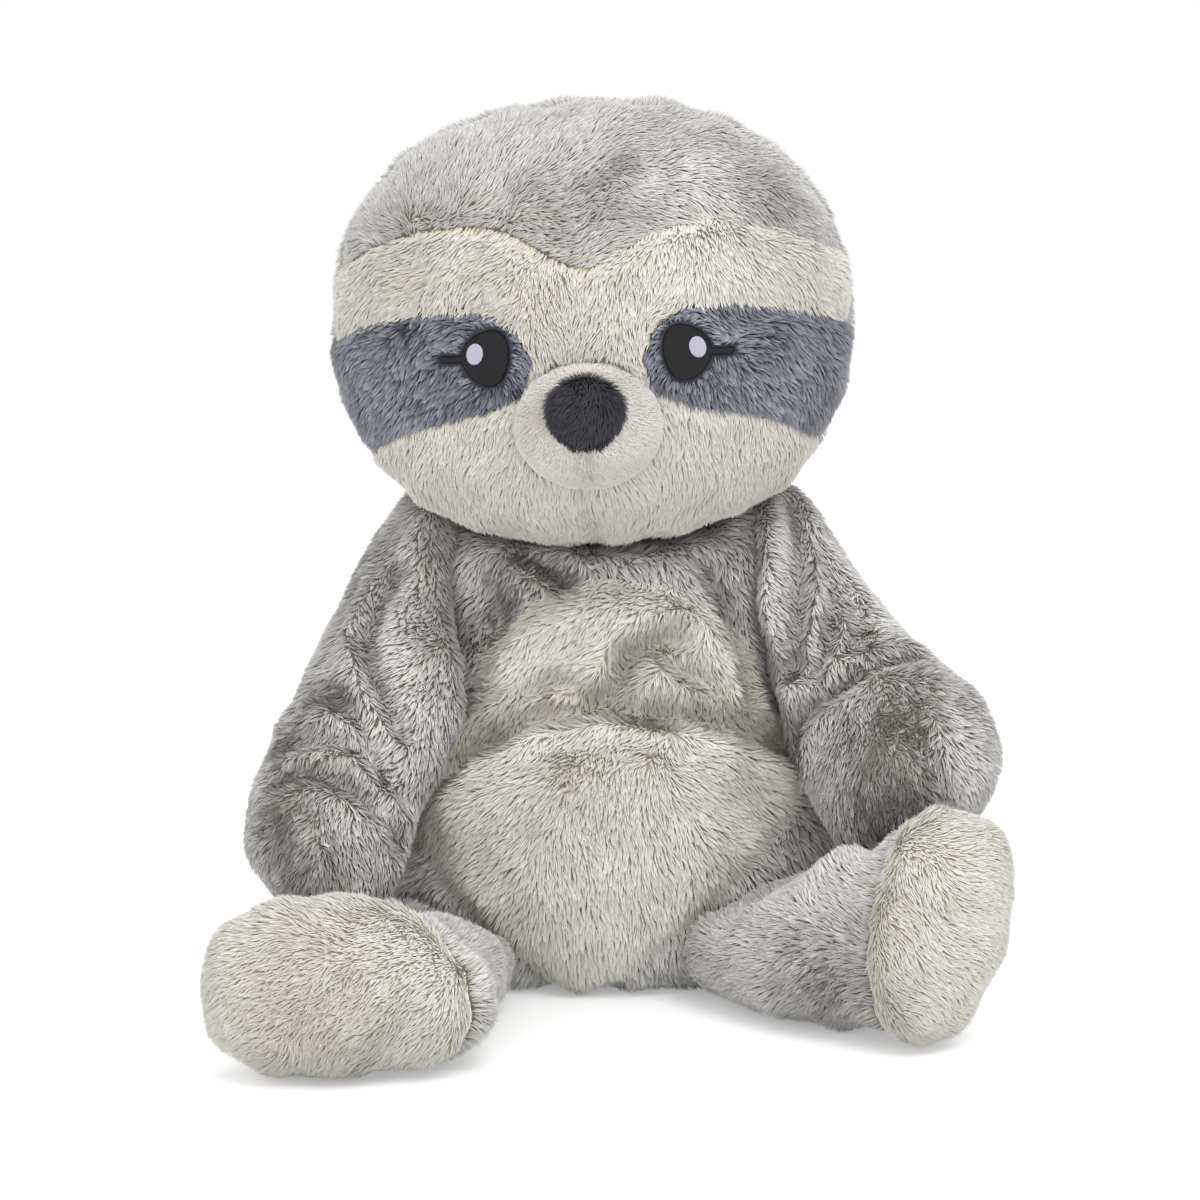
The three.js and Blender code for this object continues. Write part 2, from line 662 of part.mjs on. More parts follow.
function buildLeg(side, forms, foot, obstacles) {
  const group = new THREE.Group();
  group.position.copy(forms.hip);
  group.updateMatrixWorld(true);
  const atAnkle = ([x, y]) => new THREE.Vector3(forms.ankle.x + x, forms.ankle.y + y, forms.ankle.z);
  const hollow = forms.formAt(0).subtract(forms.formAt(-PLUSH));
  const skin = obstacles.reduce((left, cut) => left.subtract(cut), hollow);
  const [footSkin, legSkin] = parted(skin, atAnkle(foot.ankle), foot.ankleNormal);
  const [sole, upper] = parted(footSkin, atAnkle(foot.sole), foot.soleNormal);
  add(group, `${side}_leg_cover`, mainBody(legSkin), GREY);
  add(group, `${side}_foot_cover`, mainBody(upper), GREY);
  add(group, `${side}_sole_panel`, mainBody(sole), CREAM);
  const pouchSeam = new THREE.Vector3(foot.pouchNormal.y, -Math.abs(foot.pouchNormal.x), 0);
  const pouchAt = atAnkle(foot.pouch);
  const inside = filling(forms.formAt, forms.footAt, obstacles, pouchAt, foot.pouchNormal, pouchSeam);
  addFilling(group, `${side}_leg`, `${side}_foot`, inside);
  return group;
}

const room = headRoom();
const torsoRoom = torsoForm(SEAM_GAP);
const rightLeg = legForms(RIGHT_LEG, RIGHT_FOOT, new THREE.Vector3(0, 0, 1));
const leftLeg = legForms(LEFT_LEG, LEFT_FOOT, LEFT_FOOT.soleNormal);

const toy = new THREE.Group();
toy.name = "seated_sloth";
toy.add(buildTorso(room));
toy.add(buildHead());
toy.add(buildLeg("right", rightLeg, RIGHT_FOOT, [torsoRoom, underFloor]));
toy.add(buildLeg("left", leftLeg, LEFT_FOOT, [torsoRoom, underFloor]));
toy.add(buildArm("right", -1, RIGHT_ARM, [torsoRoom, rightLeg.formAt(HAND_CLEARANCE)]));
toy.add(buildArm("left", 1, LEFT_ARM, [torsoRoom, leftLeg.formAt(HAND_CLEARANCE)]));

export default toy;
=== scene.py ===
# %% [markdown]
# # A seated plush sloth
#
# A soft toy is a set of sewn skins round loose filling. Each skin is plush: a knitted backing with a
# dense pile of fibres that lean along the nap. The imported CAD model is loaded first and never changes.
# It gives every place in this script, in metres, with the toy facing -Y and its seat on the floor.

import json
import math

import bmesh
import bpy
import numpy as np
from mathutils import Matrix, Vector
from mathutils.bvhtree import BVHTree


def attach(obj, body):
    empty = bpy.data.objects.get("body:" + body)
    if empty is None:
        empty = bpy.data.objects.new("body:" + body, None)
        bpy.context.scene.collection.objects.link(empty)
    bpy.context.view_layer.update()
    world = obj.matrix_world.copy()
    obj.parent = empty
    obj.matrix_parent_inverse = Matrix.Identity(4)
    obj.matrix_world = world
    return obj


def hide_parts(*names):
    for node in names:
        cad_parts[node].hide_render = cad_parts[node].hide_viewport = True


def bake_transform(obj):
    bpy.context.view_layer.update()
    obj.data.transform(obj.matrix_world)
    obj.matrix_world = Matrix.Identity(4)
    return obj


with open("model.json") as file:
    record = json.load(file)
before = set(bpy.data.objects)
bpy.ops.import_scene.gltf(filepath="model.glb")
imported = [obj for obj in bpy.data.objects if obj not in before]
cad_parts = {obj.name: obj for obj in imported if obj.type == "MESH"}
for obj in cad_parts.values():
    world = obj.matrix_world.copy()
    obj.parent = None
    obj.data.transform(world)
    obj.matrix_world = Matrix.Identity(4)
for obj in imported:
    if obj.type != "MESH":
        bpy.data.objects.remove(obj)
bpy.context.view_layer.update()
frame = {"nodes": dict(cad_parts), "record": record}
MM = 0.001

# %% [markdown]
# ## Camera
#
# The toy was photographed from a little above its eyes with a long lens, which keeps the head and the
# feet in proportion. The camera stands 1.7 m away and looks down by 10 degrees.

# %% Camera
CAMERA_TILT = math.radians(10)
CAMERA_DISTANCE = 1.7
CAMERA_TARGET = Vector((3.5, -45, 166)) * MM
CAMERA_LENS = 121.4
NEAR_CLIP = 0.1


def in_scene(made):
    bpy.context.scene.collection.objects.link(made)
    return made


camera_data = bpy.data.cameras.new("product_camera")
camera_data.lens = CAMERA_LENS
camera_data.clip_start = NEAR_CLIP
camera = in_scene(bpy.data.objects.new("product_camera", camera_data))
camera.rotation_euler = (math.pi / 2 - CAMERA_TILT, 0, 0)
backwards = Vector((0, -math.cos(CAMERA_TILT), math.sin(CAMERA_TILT)))
camera.location = CAMERA_TARGET + backwards * CAMERA_DISTANCE
bpy.context.scene.camera = camera
print("camera at", tuple(round(x, 3) for x in camera.location))

# %% [markdown]
# ## Shader maths
#
# Node trees are easier to read as expressions. `Value` wraps one shader socket, and each operator
# adds the Math node that does the sum.


# %% Shader maths
def plug(tree, socket, value):
    """Gives a socket a link if value is a Value, and a plain default if it is a number or colour."""
    if isinstance(value, Value):
        tree.links.new(value.socket, socket)
    elif isinstance(value, (tuple, list)) and len(value) == 3 and socket.type == "RGBA":
        socket.default_value = (*value, 1)
    else:
        socket.default_value = value


class Value:
    """One output of a shader tree, which takes part in sums."""

    def __init__(self, tree, socket):
        self.tree = tree
        self.socket = socket

    def maths(self, operation, first, second):
        node = self.tree.nodes.new("ShaderNodeMath")
        node.operation = operation
        plug(self.tree, node.inputs[0], first)
        plug(self.tree, node.inputs[1], second)
        return Value(self.tree, node.outputs[0])

    def __add__(self, other):
        return self.maths("ADD", self, other)

    def __radd__(self, other):
        return self.maths("ADD", other, self)

    def __sub__(self, other):
        return self.maths("SUBTRACT", self, other)

    def __rsub__(self, other):
        return self.maths("SUBTRACT", other, self)

    def __mul__(self, other):
        return self.maths("MULTIPLY", self, other)

    def __rmul__(self, other):
        return self.maths("MULTIPLY", other, self)

    def __pow__(self, other):
        return self.maths("POWER", self, other)


print("sums ready")

# %% [markdown]
# ## Finishes
#
# `Finish` is a material under way. Its one method `node` adds any other node from its type, its
# settings and the values or links of its sockets, and the short methods below it name the nodes that
# this toy's finishes use.


# %% Finishes
class Finish:
    """A material with one Principled shader, built up node by node."""

    def __init__(self, name, **fixed):
        self.material = bpy.data.materials.new(name)
        self.material.use_nodes = True
        self.tree = self.material.node_tree
        self.shader = self.tree.nodes["Principled BSDF"]
        self.set(**fixed)

    def set(self, **sockets):
        for name, value in sockets.items():
            plug(self.tree, self.shader.inputs[name.replace("_", " ")], value)

    def node(self, kind, settings=None, output=0, **sockets):
        node = self.tree.nodes.new("ShaderNode" + kind)
        for name, value in (settings or {}).items():
            setattr(node, name, value)
        for name, value in sockets.items():
            slot = next(s for s in node.inputs if s.enabled and s.name == name.replace("_", " "))
            plug(self.tree, slot, value)
        return Value(self.tree, node.outputs[output])

    def attribute(self, name):
        return self.node("Attribute", {"attribute_name": name}, output="Fac")

    def place(self):
        return self.node("TexCoord", None, "Object")

    def noise(self, scale, detail=2.0):
        return self.node("TexNoise", None, "Fac", Vector=self.place(), Scale=scale, Detail=detail)

    def bands(self, direction, scale):
        settings = {"bands_direction": direction}
        return self.node("TexWave", settings, "Fac", Vector=self.place(), Scale=scale)

    def mix(self, share, first, second):
        return self.node("Mix", {"data_type": "RGBA"}, 2, Factor=share, A=first, B=second)

    def bump(self, height, distance, strength=1.0):
        return self.node("Bump", None, "Normal", Height=height, Distance=distance, Strength=strength)

    def grain(self, grain, deep, pale, depth, strength=1.0):
        """A grain that goes from a deep to a pale dye, and raises the surface too."""
        self.set(Base_Color=self.mix(grain, paint(deep), paint(pale)))
        self.set(Normal=self.bump(grain, depth, strength))


def paint(code):
    """A screen colour, such as c9c8be, as the linear numbers of shaders, by the sRGB standard's curve."""
    shares = [int(code[i : i + 2], 16) / 255 for i in (0, 2, 4)]
    return tuple(s / 12.92 if s <= 0.04045 else ((s + 0.055) / 1.055) ** 2.4 for s in shares)


print("paint c9c8be", [round(x, 3) for x in paint("c9c8be")])

# %% [markdown]
# ## White floor and air
#
# A shop picture has a white floor and backdrop. The floor keeps the toy's shadow, and it and the air
# only read as full white to the camera, so they throw no extra light on the toy.

# %% White floor and air
FLOOR_SIZE = 6.0
FLOOR_GLOW = 0.3
FLOOR_WHITE = (0.86, 0.86, 0.86)
SKY_LEVEL = 0.95


def white_air():
    world = bpy.data.worlds.new("studio_air")
    bpy.context.scene.world = world
    world.use_nodes = True
    tree = world.node_tree
    light = tree.nodes.new("ShaderNodeLightPath")
    seen = Value(tree, light.outputs["Is Camera Ray"])
    seen = seen + Value(tree, light.outputs["Is Glossy Ray"])
    seen = seen + Value(tree, light.outputs["Is Transmission Ray"])
    background = tree.nodes["Background"]
    background.inputs["Color"].default_value = (1, 1, 1, 1)
    plug(tree, background.inputs["Strength"], SKY_LEVEL + seen * (1 - SKY_LEVEL))


def white_floor():
    size = FLOOR_SIZE / 2
    mesh = bpy.data.meshes.new("studio_floor")
    corners = [(-size, -size, 0), (size, -size, 0), (size, size, 0), (-size, size, 0)]
    mesh.from_pydata(corners, [], [(0, 1, 2, 3)])
    finish = Finish("studio_white", Base_Color=FLOOR_WHITE, Roughness=1.0, Specular_IOR_Level=0.0)
    seen = finish.node("LightPath", None, "Is Camera Ray")
    finish.set(Emission_Color=finish.mix(seen, (0, 0, 0), (1, 1, 1)), Emission_Strength=FLOOR_GLOW)
    mesh.materials.append(finish.material)
    in_scene(bpy.data.objects.new("studio_floor", mesh))


white_air()
white_floor()
bpy.context.scene.view_settings.view_transform = "Standard"
print("floor", FLOOR_SIZE, "m wide")

# %% [markdown]
# ## Lamps
#
# Broad, soft lamps show fur best, because they leave no hard shadows in it. Together they give a level
# of light at which a colour renders about as it is written. Each row has the lamp's place, what it
# looks at, its width in metres and its power in watts.

# %% Lamps
LAMPS = {
    "key_lamp": ((0.5, -1.3, 1.6), (0, 0, 0.18), 1.0, 15),
    "fill_lamp": ((-1.5, -1.1, 0.8), (0, 0, 0.18), 1.2, 6),
    "low_lamp": ((0.1, -1.9, 0.35), (0, 0, 0.12), 1.3, 9),
    "top_lamp": ((0.1, 0.3, 1.8), (0, 0, 0.2), 1.0, 8),
}

for name, (place, target, size, power) in LAMPS.items():
    data = bpy.data.lights.new(name, "AREA")
    data.shape = "DISK"
    data.size = size
    data.energy = power
    lamp = in_scene(bpy.data.objects.new(name, data))
    lamp.location = place
    lamp.rotation_euler = (Vector(place) - Vector(target)).to_track_quat("Z", "Y").to_euler()
    print(name, power, "W")

# %% [markdown]
# ## Meshes as arrays
#
# Folds, seams and pile are quick to work out on arrays of places and faces, where one line moves
# every corner at once. These helpers go between meshes and arrays.


# %% Meshes as arrays
def mesh_arrays(mesh):
    """A mesh's corner places, and its faces as triangles."""
    places = np.empty(len(mesh.vertices) * 3)
    mesh.vertices.foreach_get("co", places)
    mesh.calc_loop_triangles()
    corners = np.empty(len(mesh.loop_triangles) * 3, np.int32)
    mesh.loop_triangles.foreach_get("vertices", corners)
    return places.reshape(-1, 3), corners.reshape(-1, 3)


def node_arrays(node):
    return mesh_arrays(frame["nodes"][node].data)


def ground_of(places, faces):
    """A tree that finds the nearest point of a surface, or where a ray meets it."""
    return BVHTree.FromPolygons(places.tolist(), faces.tolist())


def used_only(faces):
    """The corners that these faces use, and the faces numbered to match."""
    used, numbers = np.unique(faces, return_inverse=True)
    return used, numbers.reshape(faces.shape)


TINY = 1e-12


def unit(vectors):
    return vectors / np.maximum(np.linalg.norm(vectors, axis=1, keepdims=True), TINY)


def summed(owners, values, count):
    """The sum of the rows of values that belong to each owner."""
    return np.stack([np.bincount(owners, column, count) for column in values.T], axis=1)


print("nose corners", len(node_arrays("nose")[0]))

# %% [markdown]
# ## Smooth surfaces
#
# The CAD skins are faceted shells, and the real skins are smooth and soft. A surface is kept as arrays
# with its own ways to smooth, sink and sort itself. Blender's modifiers could smooth it too, but would
# let it shrink, and here every round of smoothing gives back the volume that it took.


# %% Smooth surfaces
class Surface:
    """A closed surface of four-cornered faces."""

    def __init__(self, places, faces):
        self.places = places
        self.faces = faces
        sides = np.concatenate([faces[:, [i, (i + 1) % 4]] for i in range(4)])
        self.edges = np.unique(np.sort(sides, axis=1), axis=0)

    def corners(self):
        return [self.places[self.faces[:, i]] for i in range(4)]

    def facing(self):
        """An arrow square to each face, as long as twice its area."""
        a, b, c, d = self.corners()
        return np.cross(c - a, d - b)

    def normals(self):
        facing = np.repeat(self.facing(), 4, axis=0)
        return unit(summed(self.faces.ravel(), facing, len(self.places)))

    def volume(self):
        a, b, c, d = self.corners()
        return (np.cross(b, c) * a + np.cross(c, d) * a).sum() / 6

    def area(self):
        return np.linalg.norm(self.facing(), axis=1).sum() / 2

    def sink(self, depth):
        """Moves every place inwards, by one depth or each by its own."""
        self.places = self.places - self.normals() * np.reshape(depth, (-1, 1))

    def relax(self, rounds):
        """Smooths the surface, and then swells it back to the volume that it had."""
        count = len(self.places)
        owners = self.edges.ravel()
        others = self.edges[:, ::-1].ravel()
        degree = np.bincount(owners, minlength=count)[:, None]
        before = self.volume()
        for _ in range(rounds):
            mean = summed(owners, self.places[others], count) / degree
            self.places = (self.places + mean) / 2
        self.places += self.normals() * (before - self.volume()) / self.area()

    def largest(self):
        """Only the largest connected part."""
        label = np.arange(len(self.places))
        while True:
            low = label[self.edges].min(axis=1)
            new = label.copy()
            np.minimum.at(new, self.edges[:, 0], low)
            np.minimum.at(new, self.edges[:, 1], low)
            new = new[new]
            if (new == label).all():
                break
            label = new
        kept = label == np.bincount(label).argmax()
        used, faces = used_only(self.faces[kept[self.faces[:, 0]]])
        return Surface(self.places[used], faces)

    def ground(self):
        return ground_of(self.places, self.faces)


print("surface tools ready")

# %% [markdown]
# ## One surface for each body
#
# Each body's nodes are fused into one closed surface with a voxel remesh, which is then relaxed until
# the facets are gone. Sewing them one by one would leave gaps, and one surface can be cut into panels
# that always meet. The eyes, the muzzle and the nose are made on their own later.


# %% One surface for each body
def fused(nodes, voxel):
    """A closed surface round all of these CAD nodes, with any hollow inside it."""
    places, faces = [], []
    for node in nodes:
        found, corners = node_arrays(node)
        faces.append(corners + sum(len(p) for p in places))
        places.append(found)
    mesh = bpy.data.meshes.new("fused")
    mesh.from_pydata(np.concatenate(places), [], np.concatenate(faces))
    holder = in_scene(bpy.data.objects.new("fused", mesh))
    step = holder.modifiers.new("fuse", "REMESH")
    step.mode = "VOXEL"
    step.voxel_size = voxel
    seen = holder.evaluated_get(bpy.context.evaluated_depsgraph_get())
    made = seen.to_mesh()
    corners = np.empty(len(made.vertices) * 3)
    made.vertices.foreach_get("co", corners)
    quads = np.empty(len(made.loops), np.int32)
    made.loops.foreach_get("vertex_index", quads)
    seen.to_mesh_clear()
    bpy.data.objects.remove(holder)
    return Surface(corners.reshape(-1, 3), quads.reshape(-1, 4))


SKIN_VOXEL = 2.5 * MM
SKIN_ROUNDS = 30
BODY_NODES = frame["record"]["behaviour"]["bodies"]
TRIM_WORDS = ("muzzle", "nose", "_embroidery", "highlight")
FACE_TRIM = [n for n in BODY_NODES["head"] if any(word in n for word in TRIM_WORDS)]

surfaces = {}
for body, nodes in BODY_NODES.items():
    surface = fused([n for n in nodes if n not in FACE_TRIM], SKIN_VOXEL).largest()
    surface.relax(SKIN_ROUNDS)
    surfaces[body] = surface
    low, high = surface.places.min(axis=0) / MM, surface.places.max(axis=0) / MM
    print(body, len(surface.faces), "faces, mm", low.round(1), high.round(1))

# %% [markdown]
# ## Soft noise
#
# Plush is never even: the nap lies this way and that, and crushed patches look darker. All of it comes
# from one smooth noise, a sum of waves in random directions, worked out on arrays.

# %% Soft noise
WAVES = 14
WAVE_SPREAD = (0.6, 1.5)


def drift(places, size, seed):
    """A smooth random value about from -1 to 1 at each place, which changes over about that size."""
    chance = np.random.default_rng(seed)
    ways = unit(chance.normal(size=(WAVES, 3)))
    ways = ways * chance.uniform(*WAVE_SPREAD, (WAVES, 1)) * math.tau / size
    total = np.sin(places @ ways.T + chance.uniform(0, math.tau, WAVES)).sum(axis=1)
    return total / math.sqrt(WAVES)


print("drift spread", drift(surfaces["head"].places, size=40 * MM, seed=1).std().round(2))

# %% [markdown]
# ## Folds
#
# A weighted toy sags, so its skins fold where the belly sits and where the hands bend forward. A fold is
# a line of points on the skin, in millimetres, with a half-width and a depth. The skin is pressed in
# along it, and a depth below zero makes a swell. A cloth simulation could fold it too, but not in the
# places where the photographed toy is folded.

# %% Folds
FOLDS = {
    "torso": [
        ([(-76, -62, 88), (-59, -57, 100), (-54, -57, 108), (-36, -61, 114), (-27, -61, 121)], 5.5, 12.5),
        ([(-27, -61, 121), (-8, -64, 124), (7, -64, 126), (23, -64, 124), (51, -59, 119)], 5.5, 11.5),
        ([(51, -59, 119), (79, -47, 108), (94, -40, 104)], 7, 11),
        ([(-60, -70, 80), (-20, -84, 99), (20, -84, 104), (60, -72, 98)], 13, -5),
        ([(-24, -58, 131), (-12, -60, 135), (2, -64, 127)], 4.5, 9),
        ([(6, -64, 127), (13, -61, 136), (18, -58, 146), (27, -55, 150), (37, -52, 153)], 5.5, 12),
        ([(34, -55, 143), (42, -54, 138), (51, -53, 129)], 4.5, 7),
        ([(22, -62, 130), (26, -58, 138)], 7, -5),
        ([(-30, -60, 122), (-22, -61, 126)], 5, -4),
        ([(-44, -46, 140), (-24, -50, 154), (10, -54, 162), (40, -48, 160), (56, -46, 142)], 9, -6),
        ([(-30, -41, 190), (-20, -44, 185), (-10, -50, 176)], 5, 7),
        ([(-44, -38, 172), (-38, -44, 157), (-44, -48, 138)], 7, 4),
        ([(50, -40, 182), (58, -38, 165), (64, -42, 146), (66, -46, 128)], 5, 6),
        ([(-60, -2, 197), (-66, -18, 180)], 13, -9),
        ([(66, -2, 197), (74, -18, 180)], 13, -9),
        ([(100, -40, 84), (98, -44, 60)], 16, -6),
    ],
    "head": [
        ([(-3, -92, 221), (-3, -85, 212), (-1, -70, 200), (4, -49, 190)], 3, 2.4),
        ([(-81, -86, 286), (-69, -92, 285)], 2, 1.8),
        ([(-81, -86, 280), (-70, -92, 279)], 2, 1.6),
        ([(-68, -92, 290), (-67, -93, 276)], 2, 1.8),
        ([(68, -93, 290), (80, -87, 291)], 2, 1.8),
        ([(69, -93, 284), (82, -86, 284)], 2, 1.6),
        ([(67, -93, 294), (66, -94, 280)], 2, 1.8),
    ],
    "right_arm": [
        ([(-129, -92, 100), (-117, -95, 107), (-104, -98, 105), (-92, -97, 94), (-80, -92, 74)], 5, 7),
        ([(-124, -80, 112), (-106, -84, 118), (-96, -84, 112), (-86, -88, 98)], 4.5, 6),
        ([(-118, -62, 134), (-105, -70, 130), (-94, -78, 121), (-86, -84, 108), (-78, -84, 88)], 4.5, 6),
        ([(-81, -33, 177), (-94, -50, 153), (-90, -66, 138), (-80, -76, 118)], 5, 6),
        ([(-98, -20, 170), (-108, -44, 146), (-126, -60, 122)], 5, 3.5),
        ([(-100, -58, 146), (-92, -72, 130), (-84, -80, 112)], 6, -4),
        ([(-74, -20, 195), (-84, -45, 165), (-82, -56, 148)], 7, -4.5),
        ([(-60, -14, 196), (-58, -32, 176), (-60, -46, 152), (-64, -60, 124), (-68, -70, 104)], 12, -8),
        ([(-64, -56, 140), (-60, -62, 122)], 11, -7),
        ([(-103, -112, 88), (-102, -114, 68), (-97, -110, 50)], 5, 2.5),
        ([(-126, -104, 92), (-116, -112, 84), (-114, -114, 64)], 9, -2.5),
        ([(-94, -108, 50), (-82, -98, 50)], 12, -6),
    ],
    "left_arm": [
        ([(86, -62, 100), (87, -64, 120), (94, -68, 131), (103, -71, 137), (112, -72, 141)], 5, 8),
        ([(112, -72, 141), (124, -68, 144), (135, -61, 146)], 4.5, 6),
        ([(138, -99, 130), (144, -107, 114), (150, -107, 99), (152, -106, 84)], 4, -3.5),
        ([(130, -104, 128), (136, -108, 112), (140, -108, 96)], 4, 2.5),
        ([(84, -10, 205), (89, -25, 188), (86, -38, 170), (86, -48, 157), (84, -56, 140)], 5, 7),
        ([(98, -22, 190), (102, -43, 166), (98, -55, 150), (92, -62, 138)], 4.5, 6.5),
        ([(108, -30, 178), (112, -48, 158), (108, -60, 148)], 4.5, 4.5),
        ([(94, -24, 188), (95, -42, 167), (90, -54, 148)], 5, -4),
        ([(78, -22, 192), (76, -36, 168), (76, -42, 152)], 5, -4),
        ([(74, -12, 196), (76, -30, 178), (76, -44, 158), (80, -58, 134), (84, -66, 112)], 9, -5),
        ([(110, -86, 130), (124, -84, 138), (140, -84, 138)], 9, -4),
        ([(104, -76, 82), (106, -80, 70)], 12, -6),
    ],
    "right_leg": [
        ([(-50, -186, 44), (-54, -190, 30)], 10, -2),
    ],
    "left_leg": [
        ([(62, -100, 50), (76, -128, 40), (80, -134, 22)], 11, 2),
    ],
}

print("folds", {body: len(rows) for body, rows in FOLDS.items()})

# %% [markdown]
# ## Pressing the folds in
#
# A narrow fold is a crease, with a soft lip on both sides. Where creases cross, the deeper one counts.
# The thighs hold little filling and lie flatter than the CAD tubes: each sag is a place on the floor
# with a radius and the share of its height that it loses there.

# %% Pressing the folds in
BROAD = 10
LIP = 0.6
CREASE_ROUNDING = 0.5
WRINKLE = 0.9 * MM
WRINKLE_SIZE = 30 * MM
SAGS = {
    "right_leg": [((-58, -90), 46, 0.42), ((-68, -186), 20, -0.07)],
    "left_leg": [((62, -90), 38, 0.28), ((110, -132), 20, -0.15)],
}


def line_distance(places, line):
    """How far each place is from the nearest point of a line of points."""
    points = np.array(line, float) * MM
    nearest = np.linalg.norm(places - points[0], axis=1)
    for start, end in zip(points, points[1:]):
        along = end - start
        share = np.clip((places - start) @ along / (along @ along), 0, 1)
        nearest = np.minimum(nearest, np.linalg.norm(places - start - share[:, None] * along, axis=1))
    return nearest


def pressed(places, body):
    """How far a body's narrow folds press each place inwards, and how far the rest does."""
    crease = np.zeros(len(places))
    swell = np.zeros(len(places))
    broad = WRINKLE * drift(places, WRINKLE_SIZE, seed=3)
    for line, half_width, sink in FOLDS[body]:
        reach = line_distance(places, line) / (half_width * MM)
        if half_width >= BROAD:
            broad += sink * MM * np.exp(-(reach**2))
        elif sink < 0:
            swell += sink * MM * np.exp(-(reach**2))
        else:
            press = sink * MM * (1 - LIP * reach**2) * np.exp(-CREASE_ROUNDING * reach**2)
            crease = np.maximum(crease, press)
            swell += np.minimum(press, 0)
    return crease + swell, broad


def sagged(places, body):
    """A leg's places after its thigh has sunk towards the floor, and its ankle has risen."""
    places = places.copy()
    for middle, radius, share in SAGS.get(body, []):
        reach = np.linalg.norm(places[:, :2] - np.array(middle) * MM, axis=1) / (radius * MM)
        places[:, 2] *= 1 - share * np.exp(-(reach**2))
    return places


crease_depth = {}
for body, surface in surfaces.items():
    narrow, broad = pressed(surface.places, body)
    surface.sink(narrow + broad)
    surface.places = sagged(surface.places, body)
    surface.relax(1)
    crease_depth[body] = narrow
    print(body, "creases up to", round(narrow.max() / MM, 1), "mm")

# %% [markdown]
# ## Panels
#
# Each skin is cut from several panels, sewn edge to edge. The CAD nodes say which panel covers which
# place: the nearest one does, and FAR is further than anything on the toy. The belly panel's foot runs
# to a blunt point between two lines, and the right sole wraps a little way round its foot.

# %% Panels
SEARCH_REACH = 50 * MM
FAR = 1.0
COVER_WORDS = ("_cover", "_panel", "_patch")
BELLY_FOOT = [((-24, 8), (-70, 58)), ((90, 80), (14, 8))]
BELLY_FOOT_TOP = 80 * MM
SOLE_WRAP = 9 * MM


def node_distances(places, nodes, reach=SEARCH_REACH):
    """How far each place is from each of these CAD nodes."""
    columns = []
    for node in nodes:
        tree = ground_of(*node_arrays(node))
        hits = (tree.find_nearest(place, reach)[3] for place in places.tolist())
        columns.append([reach if hit is None else hit for hit in hits])
    return np.array(columns).T


def cover_nodes(body):
    return [n for n in BODY_NODES[body] if n.endswith(COVER_WORDS) and n not in FACE_TRIM]


def narrow_belly(places, reach, names):
    """Gives the front cover what lies outside the belly foot's two lines, given as x and z."""
    flat = places[:, [0, 2]]
    outside = np.full(len(places), -FAR)
    for start, end in np.array(BELLY_FOOT) * MM:
        way = (end - start) / np.linalg.norm(end - start)
        gap = way[0] * (flat[:, 1] - start[1]) - way[1] * (flat[:, 0] - start[0])
        outside = np.maximum(outside, gap)
    low = (places[:, 1] < 0) & (places[:, 2] < BELLY_FOOT_TOP)
    front, belly = names.index("torso_front_cover"), names.index("belly_panel")
    reach[low, front] = np.minimum(reach[low, front], np.maximum(-outside[low], 0))
    reach[low, belly] = np.maximum(reach[low, belly], outside[low])


panel_reach = {}
for body, surface in surfaces.items():
    names = cover_nodes(body)
    reach = node_distances(surface.places, names)
    if "belly_panel" in names:
        narrow_belly(surface.places, reach, names)
    if "right_sole_panel" in names:
        reach[:, names.index("right_sole_panel")] -= SOLE_WRAP
    panel_reach[body] = reach
    print(body, names)

# %% [markdown]
# ## Seams
#
# A seam pulls the plush into a shallow valley. A seam lies where two panels are equally near, so the
# valley can be pressed in without drawing a single line. Then every skin sinks by the depth of its pile,
# so that the pile's tips end where the CAD skin is.

# %% Seams
SEAM_WIDTH = 4.0 * MM
SEAM_DEPTH = 2.2 * MM
SKIN_SINK = 2.4 * MM

for body, surface in surfaces.items():
    closest = np.sort(panel_reach[body], axis=1)
    if closest.shape[1] > 1:
        to_seam = closest[:, 1] - closest[:, 0]
        surface.sink(SEAM_DEPTH * np.exp(-((to_seam / SEAM_WIDTH) ** 2)))
    surface.sink(SKIN_SINK)
    print(body, "skin", round(surface.area(), 4), "square metres")

# %% [markdown]
# ## The head's own directions
#
# The head sits a little tilted and turned. Its up is the axis of the neck joint, and its side runs
# through the highlights of the two eyes.

# %% The head's own directions
JOINTS = {row["name"]: row for row in frame["record"]["behaviour"]["joints"]}


def middle(node):
    places, _ = node_arrays(node)
    return (places.max(axis=0) + places.min(axis=0)) / 2


HEAD_UP = np.array(JOINTS["neck_turn"]["axis"])
across = middle("left_eye_highlight") - middle("right_eye_highlight")
HEAD_SIDE = unit((across - across @ HEAD_UP * HEAD_UP)[None])[0]
HEAD_FRONT = np.cross(HEAD_SIDE, HEAD_UP)
print("side", HEAD_SIDE.round(3), "front", HEAD_FRONT.round(3))

# %% [markdown]
# ## Flat outlines
#
# Embroidery starts as an outline on paper: the eye is a curve through points, its lash a bar with round
# ends, and its highlight an oval. All are written for the toy's left eye, in millimetres out from the
# nose and up, and mirrored for the right eye.


# %% Flat outlines
def smooth_outline(points, steps=6):
    """A closed curve through these points."""
    points = np.array(points, float) * MM
    before, after, beyond = (np.roll(points, k, axis=0) for k in (1, -1, -2))
    curve = []
    for t in np.arange(steps) / steps:
        bend = 2 * points + (after - before) * t
        bend = bend + (2 * before - 5 * points + 4 * after - beyond) * t**2
        curve.append((bend + (3 * points - before - 3 * after + beyond) * t**3) / 2)
    return np.stack(curve, axis=1).reshape(-1, 2)


